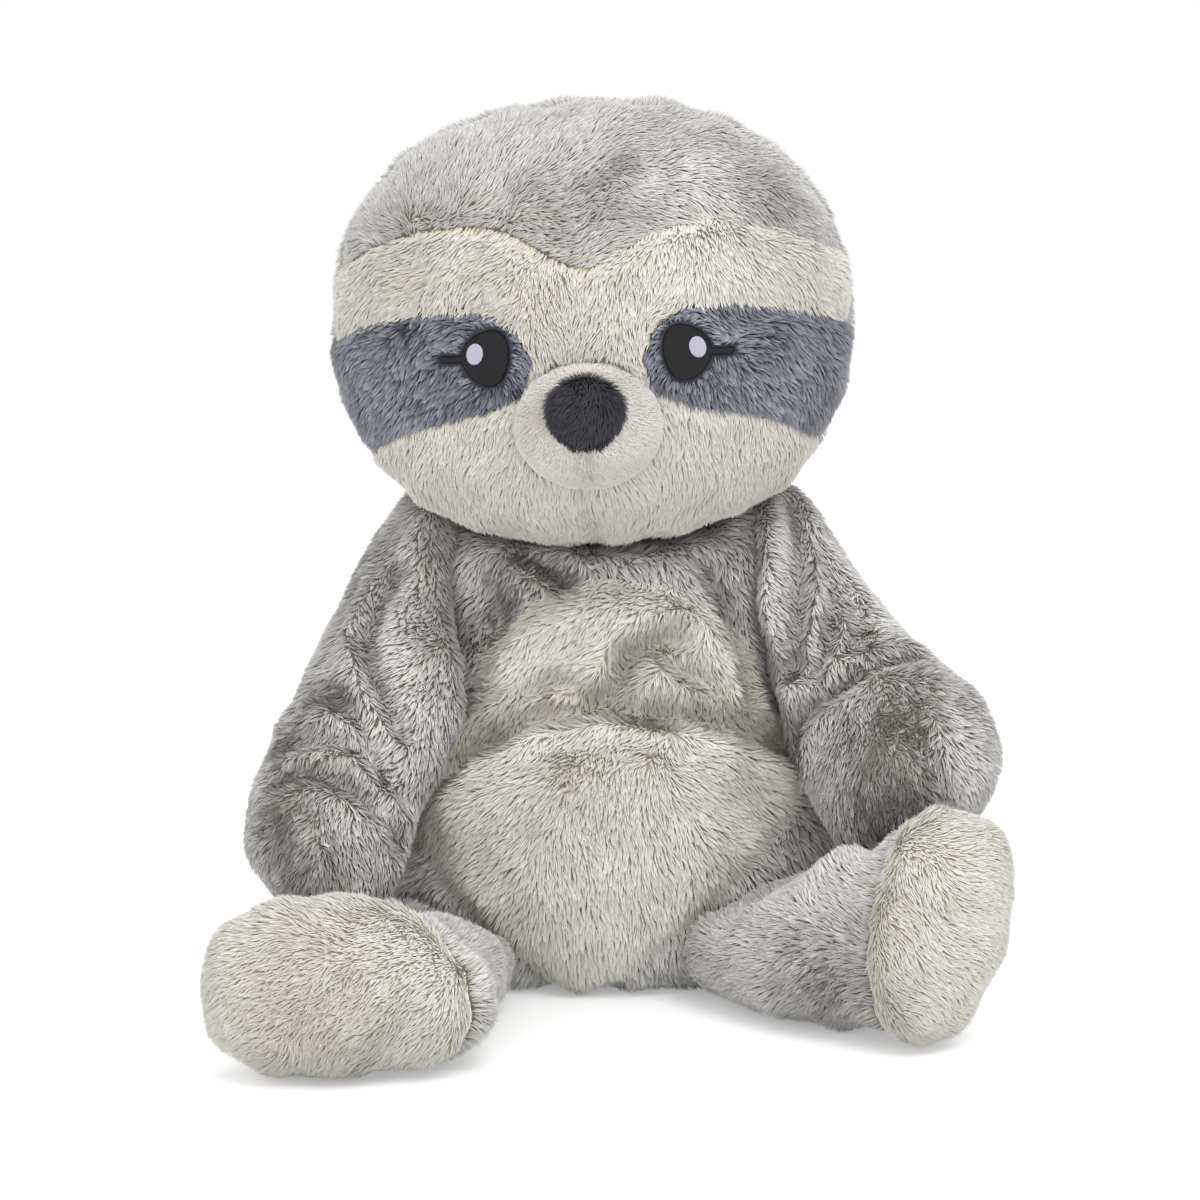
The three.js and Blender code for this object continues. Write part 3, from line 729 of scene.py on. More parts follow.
def round_bar(start, end, width, steps=12):
    """A straight bar with round ends."""
    start, end = np.array(start, float) * MM, np.array(end, float) * MM
    angle = math.atan2(*(end - start)[::-1])
    turns = angle - math.pi / 2 + np.linspace(0, math.pi, steps)
    cap = np.column_stack([np.cos(turns), np.sin(turns)]) * width * MM / 2
    return np.concatenate([end + cap, start - cap])


def tilted_oval(half_width, half_height, tilt, steps=40):
    turns = np.arange(steps) / steps * math.tau
    x, y = half_width * MM * np.cos(turns), half_height * MM * np.sin(turns)
    level, steep = math.cos(math.radians(tilt)), math.sin(math.radians(tilt))
    return np.column_stack([x * level - y * steep, x * steep + y * level])


EYE_OUTLINE = smooth_outline(
    [(-1.6, 11.4), (-6, 11.2), (-9.4, 8.4), (-10.8, 3), (-10, -3), (-7.4, -8.8), (-3.6, -11.4)]
    + [(1.2, -10.9), (5.2, -8.2), (8.2, -4.2), (9.3, 0), (7.9, 4.8), (4, 9)]
)
LASH_WIDTH = 3.2
LASH_OUTLINE = round_bar((8, -0.2), (16.8, -0.4), LASH_WIDTH)
HIGHLIGHT_OUTLINE = tilted_oval(3.4, 4.4, 14)
print("eye", np.ptp(EYE_OUTLINE, axis=0).round(4), "m across and high")

# %% [markdown]
# ## Near an outline
#
# Stitches and pile both need to know how near they are to an outline. For any place on the paper, this
# gives how far it is outside, its nearest point on the outline, and how far round that point lies.


# %% Near an outline
def outline_reach(flat, outline):
    """How far outside the outline each place is, its nearest point on it, and the way round to that."""
    along = np.roll(outline, -1, axis=0) - outline
    size = np.linalg.norm(along, axis=1)
    offset = flat[:, None] - outline
    share = np.clip((offset * along).sum(axis=2) / size**2, 0, 1)
    gap = offset - share[:, :, None] * along
    reach = np.linalg.norm(gap, axis=2)
    row, best = np.arange(len(flat)), reach.argmin(axis=1)
    nearest = flat - gap[row, best]
    way = np.concatenate([[0], np.cumsum(size)[:-1]])[best] + share[row, best] * size[best]
    y, top = outline[:, 1], np.roll(outline[:, 1], -1)
    crossed = (y <= flat[:, 1:]) != (top <= flat[:, 1:])
    rise = np.where(top == y, 1, top - y)
    right = outline[:, 0] + (flat[:, 1:] - y) / rise * along[:, 0] > flat[:, :1]
    inside = (crossed & right).sum(axis=1) % 2 == 1
    return np.where(inside, -1, 1) * reach[row, best], nearest, way


print("eye's middle", round(float(outline_reach(np.zeros((1, 2)), EYE_OUTLINE)[0][0]), 4), "m outside")

# %% [markdown]
# ## Paper before the face
#
# The flat outlines have to come onto a round head. A sheet of paper stands before each eye, square to
# the head's front, and whatever is drawn on it is laid straight back onto the skin.

# %% Paper before the face
HIGHLIGHT_SPOT = np.array([3.4, 2.0]) * MM
RAY_START = 50 * MM


class FacePlane:
    """A sheet of paper before one eye: how far out from the nose, and how far up."""

    def __init__(self, side):
        self.sign = 1 if side == "left" else -1
        self.out = HEAD_SIDE * self.sign
        highlight = middle(side + "_eye_highlight")
        self.middle = highlight - self.out * HIGHLIGHT_SPOT[0] - HEAD_UP * HIGHLIGHT_SPOT[1]

    def flat(self, places):
        return np.column_stack([(places - self.middle) @ self.out, (places - self.middle) @ HEAD_UP])

    def lifted(self, flat, ground, height):
        """Places on paper, laid on the ground below them and raised off it."""
        starts = self.middle + flat[:, :1] * self.out + flat[:, 1:] * HEAD_UP + HEAD_FRONT * RAY_START
        back = Vector(-HEAD_FRONT)
        hits = np.array([ground.ray_cast(start, back)[0][:] for start in starts.tolist()])
        return hits + HEAD_FRONT * height[:, None]


FACE_PLANES = {side: FacePlane(side) for side in ("left", "right")}
print("eyes at", [plane.middle.round(3) for plane in FACE_PLANES.values()])

# %% [markdown]
# ## Joining the bodies
#
# Every piece of the torso and the head hangs from an empty of its body. A limb is sewn to the torso, and
# two places in millimetres mark where it meets it, but only the limb's name is read here: its pieces keep
# their places in the world. A piece that stands for a CAD node hides that node.

# %% Joining the bodies
BENDS = {
    "right_arm": ((-66, -5, 200), (-86, -30, 165)),
    "left_arm": ((76, -5, 200), (96, -26, 170)),
    "right_leg": ((-50, -40, 30), (-58, -90, 30)),
    "left_leg": ((44, -40, 30), (62, -86, 30)),
}


def join(made, body, node=None):
    """Gives a piece its place in the toy, and hides its CAD node if it stands for one."""
    if node:
        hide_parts(node)
    if body in BENDS:
        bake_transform(made)
    else:
        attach(made, body)


print("bending limbs", list(BENDS))

# %% [markdown]
# ## Skins
#
# A skin is a closed sheet of knitted backing, about a millimetre thick, cut to its panel. It hides under
# the pile, so its colour is that of the roots, painted shade for the depth of the pile, with a fine knit
# in its bump.

# %% Skins
SKIN_THICKNESS = 0.8 * MM
KNIT_SCALE = 450.0
KNIT_SHARE = 0.35
KNIT_DARK = 0.6
KNIT_DEPTH = 0.2 * MM


def smooth_mesh(name, places, faces):
    mesh = bpy.data.meshes.new(name)
    mesh.from_pydata(places, [], faces)
    mesh.shade_smooth()
    return mesh


def linked(name, mesh, finish):
    """An object that shows a mesh in a finish."""
    mesh.materials.append(finish.material)
    return in_scene(bpy.data.objects.new(name, mesh))


def backed(made):
    """The object with its sheet thickened inwards, as part of its mesh."""
    step = made.modifiers.new("backing", "SOLIDIFY")
    step.thickness = SKIN_THICKNESS
    step.offset = -1
    seen = made.evaluated_get(bpy.context.evaluated_depsgraph_get())
    mesh = bpy.data.meshes.new_from_object(seen)
    made.modifiers.clear()
    made.data = mesh
    return made


def cut_panel(name, surface, kept, finish):
    """The kept faces of a surface as a closed sheet."""
    used, faces = used_only(surface.faces[kept])
    return backed(linked(name, smooth_mesh(name, surface.places[used], faces), finish))


def backing_finish(name, dye_and_painted_shade):
    finish = Finish(name, Roughness=0.95, Specular_IOR_Level=0.2)
    knit = finish.bands("Z", KNIT_SCALE)
    # the backing's colour is painted shade for the depth of the pile, and the knit's bands darken it in
    # stripes
    dark = tuple(x * KNIT_DARK for x in paint(dye_and_painted_shade))
    finish.set(Base_Color=finish.mix(knit * KNIT_SHARE, paint(dye_and_painted_shade), dark))
    finish.set(Normal=finish.bump(knit, KNIT_DEPTH))
    return finish


print("backing", SKIN_THICKNESS / MM, "mm thick")

# %% [markdown]
# ## Dyed pile
#
# Plush pile is cut fibre. At this scale it reads as thousands of small pointed locks that lean along the
# nap, dark between their roots and pale at their tips; the dark root colour is painted shade for the
# depth of the pile. A lock's colour depends on two numbers: how far along it a point is, and the tint of
# its patch. Both are attributes of its mesh, so one finish serves a whole dye. A dye is written as the
# colours of the root, of the deep and the pale tint, and of the backing, where the root's and the
# backing's colours are painted shade.

# %% Dyed pile
ROOT_FADE = 0.8
PALE_TINT = 0.58


def pile_finish(name, root, deep, pale):
    """A lock is dark at its root, where its colour is painted shade, and above it a deep or pale tint of
    the same dye.
    """
    finish = Finish(name, Roughness=0.85, Specular_IOR_Level=0.25, Sheen_Weight=0.25, Sheen_Roughness=0.5)
    along = finish.attribute("along")
    tint = finish.attribute("tint")
    dye_and_painted_shade = finish.mix(tint, paint(deep), paint(pale))
    finish.set(Base_Color=finish.mix(along**ROOT_FADE, paint(root), dye_and_painted_shade))
    return finish


class Recipe:
    """What a pile is like: sizes in millimetres, lean from upright in degrees, and its finish.

    The tips of a lock, so many millimetres wide, gather by a share. Crush, mottle and vary say how much
    the pile is crushed in patches, how much its tint wanders, and how much it differs between locks.
    """

    def __init__(
        self, finish, slot, length=4.8, width=0.85, spacing=0.9, lean=58, gather=0.5, lock=2.2,
        crush=0.4, mottle=0.06, vary=0.1, tint=PALE_TINT
    ):
        self.finish, self.slot = finish, slot
        self.length, self.width = length * MM, width * MM
        self.spacing, self.lock = spacing * MM, lock * MM
        self.lean = math.radians(lean)
        self.gather, self.crush = gather, crush
        self.mottle, self.vary, self.tint = mottle, vary, tint


# root, deep tint, pale tint, backing: the root and backing colours are painted shade for the depth of the
# pile
DYES = {
    "grey": ("7a756e", "6c6a67", "f2f0ed", "6b665f"),
    "cream": ("aba490", "c3c0b5", "f6f5f0", "9a9584"),
    "slate": ("14151a", "4c4e57", "bcc0ca", "3a3c44"),
}
FINISHES, BACKINGS = {}, {}
for dye, (root, deep, pale, knit) in DYES.items():
    FINISHES["plush_" + dye] = pile_finish(dye + "_pile", root, deep, pale)
    BACKINGS["plush_" + dye] = backing_finish(dye + "_backing", knit)
print("dyes", list(DYES))

# %% [markdown]
# ## Roots and locks
#
# The pile's roots are spread evenly at random over a surface. The tips of neighbouring locks cling
# together, as they do on washed plush, so each tip is drawn towards the middle of its small cell.

# %% Roots and locks
CELL_DRIFT_SIZE = 3
CELL_DRIFT = 0.6


def sown(surface, spacing, chance):
    """Roots spread over a surface: each root's three corners, and its weights on them."""
    quads = surface.faces
    corners = np.stack([quads[:, [0, 1, 2]], quads[:, [0, 2, 3]]], axis=1).reshape(-1, 3)
    a, b, c = (surface.places[corners[:, i]] for i in range(3))
    reach = np.cumsum(np.linalg.norm(np.cross(b - a, c - a), axis=1) / 2)
    number = int(reach[-1] / spacing**2)
    found = np.searchsorted(reach, (np.arange(number) + chance.random(number)) / number * reach[-1])
    share = chance.random((number, 2))
    over = share.sum(axis=1) > 1
    share[over] = 1 - share[over]
    weights = np.column_stack([1 - share.sum(axis=1), share])
    return corners[found.clip(0, len(corners) - 1)], weights


def blended(values, corners, weights):
    """A value of the surface's corners, carried over to the roots."""
    return (values[corners] * weights[:, :, None]).sum(axis=1)


def turned(ways, axes, angles):
    """Each way turned about its axis, which is square to it."""
    return ways * np.cos(angles)[:, None] + np.cross(axes, ways) * np.sin(angles)[:, None]


def gathered(roots, tips, recipe, seed):
    """Tips drawn towards the middle of their lock, which holds the roots of one small cell."""
    size = recipe.lock * CELL_DRIFT_SIZE
    shift = np.column_stack([drift(roots, size, seed + i) for i in range(3)])
    cells = np.floor((roots + shift * recipe.lock * CELL_DRIFT) / recipe.lock).astype(np.int64)
    _, owner = np.unique(cells, axis=0, return_inverse=True)
    owner = owner.ravel()
    number = np.bincount(owner)[:, None]
    middle = summed(owner, tips, len(number)) / number
    return tips + (middle[owner] - tips) * recipe.gather, owner


print("a lock of", round(Recipe(None, None).lock / MM, 1), "mm")

# %% [markdown]
# ## Spikes
#
# Each lock is one slim three-sided spike, made on arrays, so that the pile has real depth, a soft
# outline and its own small shadows. Hair curves would look alike, but they are no meshes and would be
# lost when the model is exported. A lock's two numbers are also written as the two directions of a map,
# so that its colours can be baked into a small picture without any fine detail in it.

# %% Spikes
SPIKE_ALONG = np.array([0.0, 0.0, 0.12, 1.0])
SPIKE_FLATNESS = 0.8
SPIKE_ROUNDING = 0.35
BAKE_EDGE = 0.02
BAKE_WIDTH = 0.003


def write_value(mesh, name, values):
    mesh.attributes.new(name, "FLOAT", "POINT").data.foreach_set("value", values.astype(np.float32))


def write_bake_map(mesh, share, tints, faces):
    """The map for baking: across it a lock runs from root to tip, and up it the tint grows."""
    size = 1 - 2 * BAKE_EDGE
    across = np.tile([-BAKE_WIDTH, BAKE_WIDTH, 0, 0], len(tints))
    places = np.column_stack([share * size, np.repeat(tints, 4) * size + across]) + BAKE_EDGE
    layer = mesh.uv_layers.new(name="OFBake")
    layer.uv.foreach_set("vector", places[faces.ravel()].ravel().astype(np.float32))


def spike_mesh(name, roots, tips, ups, widths, tints):
    """A mesh of closed three-sided spikes, shaded softly like the fibres of one lock."""
    count = len(roots)
    along = unit(tips - roots)
    side = unit(np.cross(ups, along))
    top = np.cross(along, side)
    half = widths[:, None] / 2
    ring = [roots + side * half, roots - side * half, roots + top * half * SPIKE_FLATNESS]
    places = np.stack([*ring, tips], axis=1).reshape(-1, 3)
    pattern = np.array([[1, 0, 3], [2, 1, 3], [0, 2, 3], [0, 1, 2]])
    faces = (np.arange(count)[:, None, None] * 4 + pattern).reshape(-1, 3)
    mesh = smooth_mesh(name, places, faces)
    share = np.tile(SPIKE_ALONG, count)
    write_value(mesh, "along", share)
    write_value(mesh, "tint", np.repeat(tints, 4))
    write_bake_map(mesh, share, tints, faces)
    spread = np.stack([side, -side, top * 0, top * 0], axis=1) * SPIKE_ROUNDING
    soft = unit((ups[:, None, :] + spread).reshape(-1, 3))
    mesh.normals_split_custom_set_from_vertices(soft)
    return mesh


print("corners of a spike", len(SPIKE_ALONG))

# %% [markdown]
# ## Stroked plush, and painted light and shade
#
# Hands that stroked the toy left patches dark or pale, because pile that lies another way takes the light
# differently. Other patches are painted light and shade: painted shade under the chin, on the chest below
# the head and between the arms and the torso, and painted light on the lower belly and along the ridges
# of the arms' folds. They are listed as lines of points in millimetres, with a radius and a change of
# tint, where a change below zero also crushes the pile. Their edges are ragged.

# %% Stroked plush, and painted light and shade
RAGGED = 0.2
RAGGED_SIZE = 9 * MM
STROKED_AND_SHADED = {
    "head": [
        ([(0, -60, 365)], 100, -0.12),
        ([(12, -84, 351)], 8, -0.3),
        ([(18, -88, 345)], 7, 0.35),
        ([(21, -97, 331)], 9, -0.3),
        ([(-5, -93, 334)], 15, -0.25),
        ([(77, -68, 340)], 20, -0.3),
        ([(45, -81, 348)], 15, 0.3),
        ([(-25, -69, 360)], 14, 0.1),
        ([(-83, -65, 331)], 18, -0.2),
        ([(40, -98, 316)], 22, 0.4),
        ([(-40, -104, 302)], 24, -0.15),
        ([(-80, -84, 306)], 22, -0.4),
        ([(-44, -102, 254)], 12, -0.3),
    ],
    "torso": [
        # painted shade under the chin and between the arms and the torso
        ([(-30, -42, 183), (-16, -48, 178)], 11, -0.5),
        ([(-40, -44, 165), (-44, -44, 148)], 9, -0.7),
        ([(57, -39, 165), (62, -46, 140)], 8, -0.3),
        ([(40, -84, 82)], 14, 0.25),
        ([(-10, -88, 90)], 22, -0.15),
        ([(-30, -86, 60)], 20, 0.15),
        # painted light on the lower belly
        ([(0, -82, 22)], 26, 0.6),
        # painted shade on the chest below the head, and between the left arm and the torso
        ([(-30, -50, 166)], 14, -0.45),
        ([(64, -44, 138), (67, -52, 116)], 10, -0.7),
    ],
    "right_arm": [
        ([(-127, -108, 90), (-122, -112, 62)], 19, -0.75),
        ([(-130, -79, 110), (-118, -72, 124), (-105, -67, 134)], 8, -0.8),
        # painted shade between the arm and the torso
        ([(-60, -50, 118), (-60, -56, 100)], 10, -0.6),
        # painted light along the ridges of the arm's folds
        ([(-99, -63, 141), (-88, -78, 121), (-81, -84, 103), (-74, -80, 74)], 5, 0.45),
        ([(-101, -80, 121), (-93, -89, 107), (-82, -93, 89)], 4.5, 0.45),
        ([(-129, -96, 97), (-117, -95, 104), (-104, -98, 102)], 3.5, 0.35),
        ([(-80, -59, 145), (-73, -68, 123)], 6, 0.4),
        ([(-101, -107, 89), (-99, -112, 71), (-96, -110, 56)], 5, 0.4),
        ([(-73, -28, 188), (-78, -34, 166)], 18, -0.4),
    ],
    "left_arm": [
        ([(130, -89, 137), (122, -106, 114), (120, -107, 87)], 19, -0.9),
        # painted shade between the arm and the torso
        ([(78, -46, 138), (82, -56, 112)], 13, -0.9),
        # painted light along the ridges of the arm's folds
        ([(146, -94, 132), (150, -106, 110), (156, -100, 93)], 5, 0.5),
        ([(79, -25, 190), (74, -37, 158)], 6, 0.35),
        ([(93, -39, 169), (90, -49, 157), (84, -56, 140)], 5, 0.4),
        ([(105, -59, 149), (88, -65, 126)], 5, 0.45),
        ([(100, -84, 124)], 10, 0.15),
        ([(121, -26, 164)], 18, 0.5),
        ([(84, -30, 181)], 20, 0.5),
    ],
    "right_leg": [
        ([(-55, -194, 50)], 26, 0.5),
        ([(-66, -130, 58)], 24, 0.3),
        ([(-112, -217, 30)], 40, -0.5),
    ],
    "left_leg": [
        ([(56, -118, 36), (75, -125, 60)], 22, 0.3),
        ([(92, -148, 26)], 24, -0.6),
        ([(113, -130, 74)], 14, 0.4),
    ],
}


def stroked_and_shaded(roots, body):
    """How much paler or darker the pile is at each root, from stroking hands and from painted light and
    shade.
    """
    change = np.zeros(len(roots))
    ragged = 1 + RAGGED * drift(roots, RAGGED_SIZE, seed=61)
    for line, radius, amount in STROKED_AND_SHADED.get(body, []):
        change += amount * np.exp(-((line_distance(roots, line) / (radius * MM) * ragged) ** 2))
    return change


print("stroked patches", sum(len(rows) for rows in STROKED_AND_SHADED.values()))

# %% [markdown]
# ## How locks fall
#
# For every root the nap gives a way to lean, which wanders with the soft noise. Some patches are
# crushed: their locks stand up in all directions and show their dark roots. The names that end in EACH
# are the spread from one lock to the next, and those that end in CRUSHED what crushing does.

# %% How locks fall
WANDER_WIDE_SIZE, WANDER_WIDE = 36 * MM, 0.35
WANDER_FINE_SIZE, WANDER_FINE = 10 * MM, 0.16
WANDER_EACH = 0.14
WANDER_CRUSHED_SIZE, WANDER_CRUSHED = 4 * MM, 1.3
LEAN_SIZE, LEAN_DRIFT, LEAN_EACH, LEAN_CRUSHED = 12 * MM, 0.1, 0.07, 0.4
LENGTH_EACH, LENGTH_CRUSHED, LENGTH_LIMITS = 0.12, 0.15, (0.6, 1.4)


class Bed:
    """Where a pile grows: its roots, with the ways up and along the nap, shade and share of length."""

    def __init__(self, roots, ups, nap, shade, cut=1.0):
        self.roots = roots
        self.ups = ups
        self.nap = unit(nap - (nap * ups).sum(axis=1, keepdims=True) * ups)
        self.shade = shade
        self.cut = cut


def fallen(recipe, bed, crushed, chance, seed):
    """Where the tips of the locks fall before they gather."""
    roots, ups, count = bed.roots, bed.ups, len(bed.roots)
    wander = drift(roots, WANDER_WIDE_SIZE, seed + 1) * WANDER_WIDE
    wander = wander + drift(roots, WANDER_FINE_SIZE, seed + 2) * WANDER_FINE
    tangle = crushed * drift(roots, WANDER_CRUSHED_SIZE, seed + 3) * WANDER_CRUSHED
    wander += chance.normal(0, WANDER_EACH, count) + tangle
    uneven = 1 + LEAN_DRIFT * drift(roots, LEAN_SIZE, seed + 4) + chance.normal(0, LEAN_EACH, count)
    lean = recipe.lean * uneven * (1 - LEAN_CRUSHED * crushed)
    way = turned(bed.nap, ups, wander)
    share = (chance.normal(1, LENGTH_EACH, count) - LENGTH_CRUSHED * crushed).clip(*LENGTH_LIMITS)
    length = recipe.length * bed.cut * share
    return roots + (ups * np.cos(lean)[:, None] + way * np.sin(lean)[:, None]) * length[:, None]


print("locks from", LENGTH_LIMITS[0], "to", LENGTH_LIMITS[1], "of their length")

# %% [markdown]
# ## Growing the pile
#
# A pile is grown in one go: its tips fall and gather, none goes below the floor, and every lock gets its
# tint. The tint is that of the dye, and each lock, mottled patch and crushed place changes it a little,
# so that no two square centimetres of plush look the same. The bed's shade adds painted shade in creases
# and seams, and painted light on swells and some patches.

# %% Growing the pile
ROOT_SINK = 0.3 * MM
FLOOR_REST = 0.3 * MM
CRUSH_SIZE, CRUSH_START = 34 * MM, 0.5
WIDTH_LIMITS = (0.75, 1.2)
MOTTLE_SIZE, MOTTLE_FINE_SIZE = 50 * MM, 20 * MM
TINT_SHADE, TINT_EACH, TINT_CRUSHED, GRAIN_CRUSHED = 0.7, 0.05, 0.08, 1.2


def grow(name, recipe, bed, seed):
    """A pile object: locks on a bed, leaning along the nap."""
    roots, ups, count = bed.roots, bed.ups, len(bed.roots)
    chance = np.random.default_rng(seed)
    crushed = (drift(roots, CRUSH_SIZE, seed + 5) - CRUSH_START) * recipe.crush
    crushed = np.clip(crushed - bed.shade, 0, 1)
    tips = fallen(recipe, bed, crushed, chance, seed)
    tips, owner = gathered(roots, tips, recipe, seed + 6)
    tips[:, 2] = np.maximum(tips[:, 2], FLOOR_REST)
    mottle = drift(roots, MOTTLE_SIZE, seed + 7) + drift(roots, MOTTLE_FINE_SIZE, seed + 8)
    lock_tint = chance.normal(0, recipe.vary, owner.max() + 1)[owner]
    tints = recipe.tint + lock_tint * (1 + GRAIN_CRUSHED * crushed) + recipe.mottle * mottle
    # the bed's shade paints light and shade into the tint
    tints = tints + bed.shade * TINT_SHADE - TINT_CRUSHED * crushed + chance.normal(0, TINT_EACH, count)
    width = recipe.width * chance.uniform(*WIDTH_LIMITS, count)
    mesh = spike_mesh(name, roots - ups * ROOT_SINK, tips, ups, width, tints.clip(0, 1))
    print(name, count, "locks")
    return linked(name, mesh, recipe.finish)


print("lock widths from", WIDTH_LIMITS[0], "to", WIDTH_LIMITS[1], "of what the recipe says")

# %% [markdown]
# ## A recipe for each panel
#
# The pile is longest on the torso, short on the crown and the soles, and thin and ragged on the eye
# patches. The first row whose word is in a node's name holds for it. Panels that show less have wider
# locks, further apart, which keeps the mesh light.

# %% A recipe for each panel
SLOT_OF = {row["node"]: row["material_slot"] for row in frame["record"]["subparts"]}
PILE_TINTS = {"plush_grey": 0.67}
PILE_SIZES = [
    ("head_back_panel", dict(length=5.0, width=1.1, spacing=1.16, crush=0.1, mottle=0.03)),
    ("torso_back_cover", dict(length=5.2, width=1.05, spacing=1.06, mottle=0.04)),
    ("torso_front_cover", dict(length=5.2, width=0.97, spacing=0.965, gather=0.7, lock=2.6)),
    ("belly_panel", dict(length=5.4, width=0.88, spacing=0.86, gather=0.62, lock=2.6)),
    ("_arm_", dict(length=4.4, width=0.86, spacing=0.92, lean=62, gather=0.62, lock=2.5)),
    ("crown_panel", dict(length=4.2, width=1.0, lean=67, gather=0.35, crush=0.1, mottle=0.03, vary=0.05)),
    ("face_panel", dict(length=4.6, width=0.9, spacing=0.85, lean=63, crush=0.1, mottle=0.03, vary=0.07)),
    ("eye_patch", dict(length=4.6, width=0.7, spacing=0.8, lean=54, gather=0.7, vary=0.13)),
    ("sole_panel", dict(length=4.2, lean=63, gather=0.4, crush=0.1)),
    ("", dict(length=4.4, lean=62, gather=0.5, crush=0.2)),
]


def recipe_for(node):
    sizes = next(sizes for word, sizes in PILE_SIZES if word in node)
    slot = SLOT_OF[node]
    return Recipe(FINISHES[slot], slot, tint=PILE_TINTS.get(slot, PALE_TINT), **sizes)


print("belly pile", round(recipe_for("belly_panel").length / MM, 1), "mm long")

# %% [markdown]
# ## The nap
#
# The cloth of the face was cut so that its nap runs down and outwards, and the crown's nap runs across
# to the toy's left. Where a panel's nap turns, it is given at some places in millimetres, and every
# root takes the mean of those near it. The plain naps are the same all over a panel, written as
# outwards, back and up, and mirrored from the toy's left to its right. On the arms the nap runs down to
# the hands, and on the legs and feet back from the soles, because locks that point at whoever looks
# from the front would show only their dark roots.

# %% The nap
NAP_REACH = 24 * MM
NAP_FLOOR = 1e-4
NAPS = {
    "crown_panel": [
        ((-95, -58, 316), (-0.2, 0.8, -0.4)),
        ((-83, -65, 331), (0.2, 0.9, 0.3)),
        ((-68, -84, 322), (0.7, 0.5, 0.1)),
        ((-44, -92, 328), (1, 0, -0.3)),
        ((-60, -76, 338), (0.8, 0.4, 0.1)),
        ((-80, -40, 345), (-0.2, 0.9, 0.3)),
        ((-52, -66, 352), (0.4, 0.8, 0.2)),
        ((-30, -80, 345), (0.8, 0.4, 0.1)),
        ((-5, -90, 320), (1, 0, -0.1)),
        ((40, -80, 335), (0.8, 0, -0.5)),
        ((90, -50, 325), (0.5, 0.3, -0.8)),
        ((0, -40, 370), (0.8, 0.3, 0.1)),
    ],
    "face_panel": [
        ((-80, -80, 306), (-0.6, 0, -0.8)),
        ((-30, -104, 308), (-0.5, 0, -0.85)),
        ((8, -104, 306), (-0.2, 0, -0.95)),
        ((22, -98, 320), (-0.75, 0, -0.65)),
        ((44, -94, 324), (0.1, 0, -1)),
        ((70, -84, 316), (0.4, 0, -0.9)),
        ((98, -60, 305), (0.4, 0.2, -0.85)),
        ((0, -108, 285), (0.1, 0, -1)),
        ((-80, -84, 228), (-0.1, 0, -1)),
        ((-46, -98, 226), (-0.15, 0, -1)),
        ((76, -86, 228), (0.1, 0, -1)),
        ((42, -98, 226), (0.2, 0, -1)),
        ((-24, -90, 208), (0.35, 0.3, -0.8)),
        ((22, -90, 208), (-0.3, 0.3, -0.8)),
    ],
    "belly_panel": [
        ((0, -52, 165), (-0.6, 0, -0.8)),
        ((30, -48, 170), (-0.5, 0, -0.8)),
        ((50, -46, 155), (0.5, 0, -0.8)),
        ((-40, -60, 120), (-0.7, 0, -0.7)),
        ((0, -84, 104), (-0.25, -0.2, -0.9)),
        ((70, -70, 90), (0.7, 0, -0.6)),
        ((-60, -70, 70), (-0.5, 0, -0.8)),
        ((10, -90, 60), (0.15, 0, -1)),
        ((20, -80, 20), (0, 0, -1)),
    ],
}
PLAIN_NAPS = [
    ("eye_patch", (0.5, 0, -1)),
    ("sole_panel", (1, 0, -0.6)),
    ("_arm_", (0.4, -0.1, -1)),
    ("_leg_", (-0.4, 1, -0.1)),
    ("_foot_", (-0.4, 1, -0.1)),
    ("head_back_panel", (0.1, 0.7, -1)),
    ("", (0.25, 0, -1)),
]


def nap_of(node, roots):
    """The way that a panel's nap runs at each root."""
    if node not in NAPS:
        mirror = np.ones_like(roots)
        mirror[:, 0] = np.sign(roots[:, 0])
        return mirror * next(way for word, way in PLAIN_NAPS if word in node)
    total = np.zeros_like(roots)
    for place, way in NAPS[node]:
        reach = np.linalg.norm(roots - np.array(place) * MM, axis=1) / NAP_REACH
        total += np.array(way) * (np.exp(-(reach**2)) + NAP_FLOOR)[:, None]
    return total


print("turning naps", list(NAPS))

# %% [markdown]
# ## Clear of the face trim
#
# Round the eyes the pile is shorter and pressed outwards, because the stitching pulls the plush down.
# No pile grows under the stitches or under the muzzle.

# %% Clear of the face trim
EYE_MARGIN = 0.5 * MM
EYE_PULL = 5 * MM
EYE_PUSH = 1.6
EYE_CUT = 0.45
EYE_ZONE = 30 * MM
FACE_FRONT = -60 * MM
NOSE_PLACE = np.array([0, -115, 250]) * MM
MUZZLE_ZONE = 60 * MM
MUZZLE_REACH = 30 * MM
MUZZLE_MARGIN = 0.2 * MM


def round_the_eyes(roots):
    """How far each root is from the stitching of the nearer eye, and the way out from it."""
    reach = np.full(len(roots), FAR)
    outwards = np.zeros_like(roots)
    for plane in FACE_PLANES.values():
        flat = plane.flat(roots)
        near = np.flatnonzero((np.abs(flat) < EYE_ZONE).all(axis=1) & (roots[:, 1] < FACE_FRONT))
        for outline in (EYE_OUTLINE, LASH_OUTLINE):
            gap, nearest, _ = outline_reach(flat[near], outline)
            closer = gap < reach[near]
            reach[near[closer]] = gap[closer]
            ways = (flat[near] - nearest)[closer]
            outwards[near[closer]] = ways[:, :1] * plane.out + ways[:, 1:] * HEAD_UP
    return reach, unit(outwards)


def muzzle_gap(roots):
    reach = np.full(len(roots), FAR)
    near = np.flatnonzero(np.linalg.norm(roots - NOSE_PLACE, axis=1) < MUZZLE_ZONE)
    if len(near):
        reach[near] = node_distances(roots[near], ["muzzle_cover"], MUZZLE_REACH)[:, 0]
    return reach


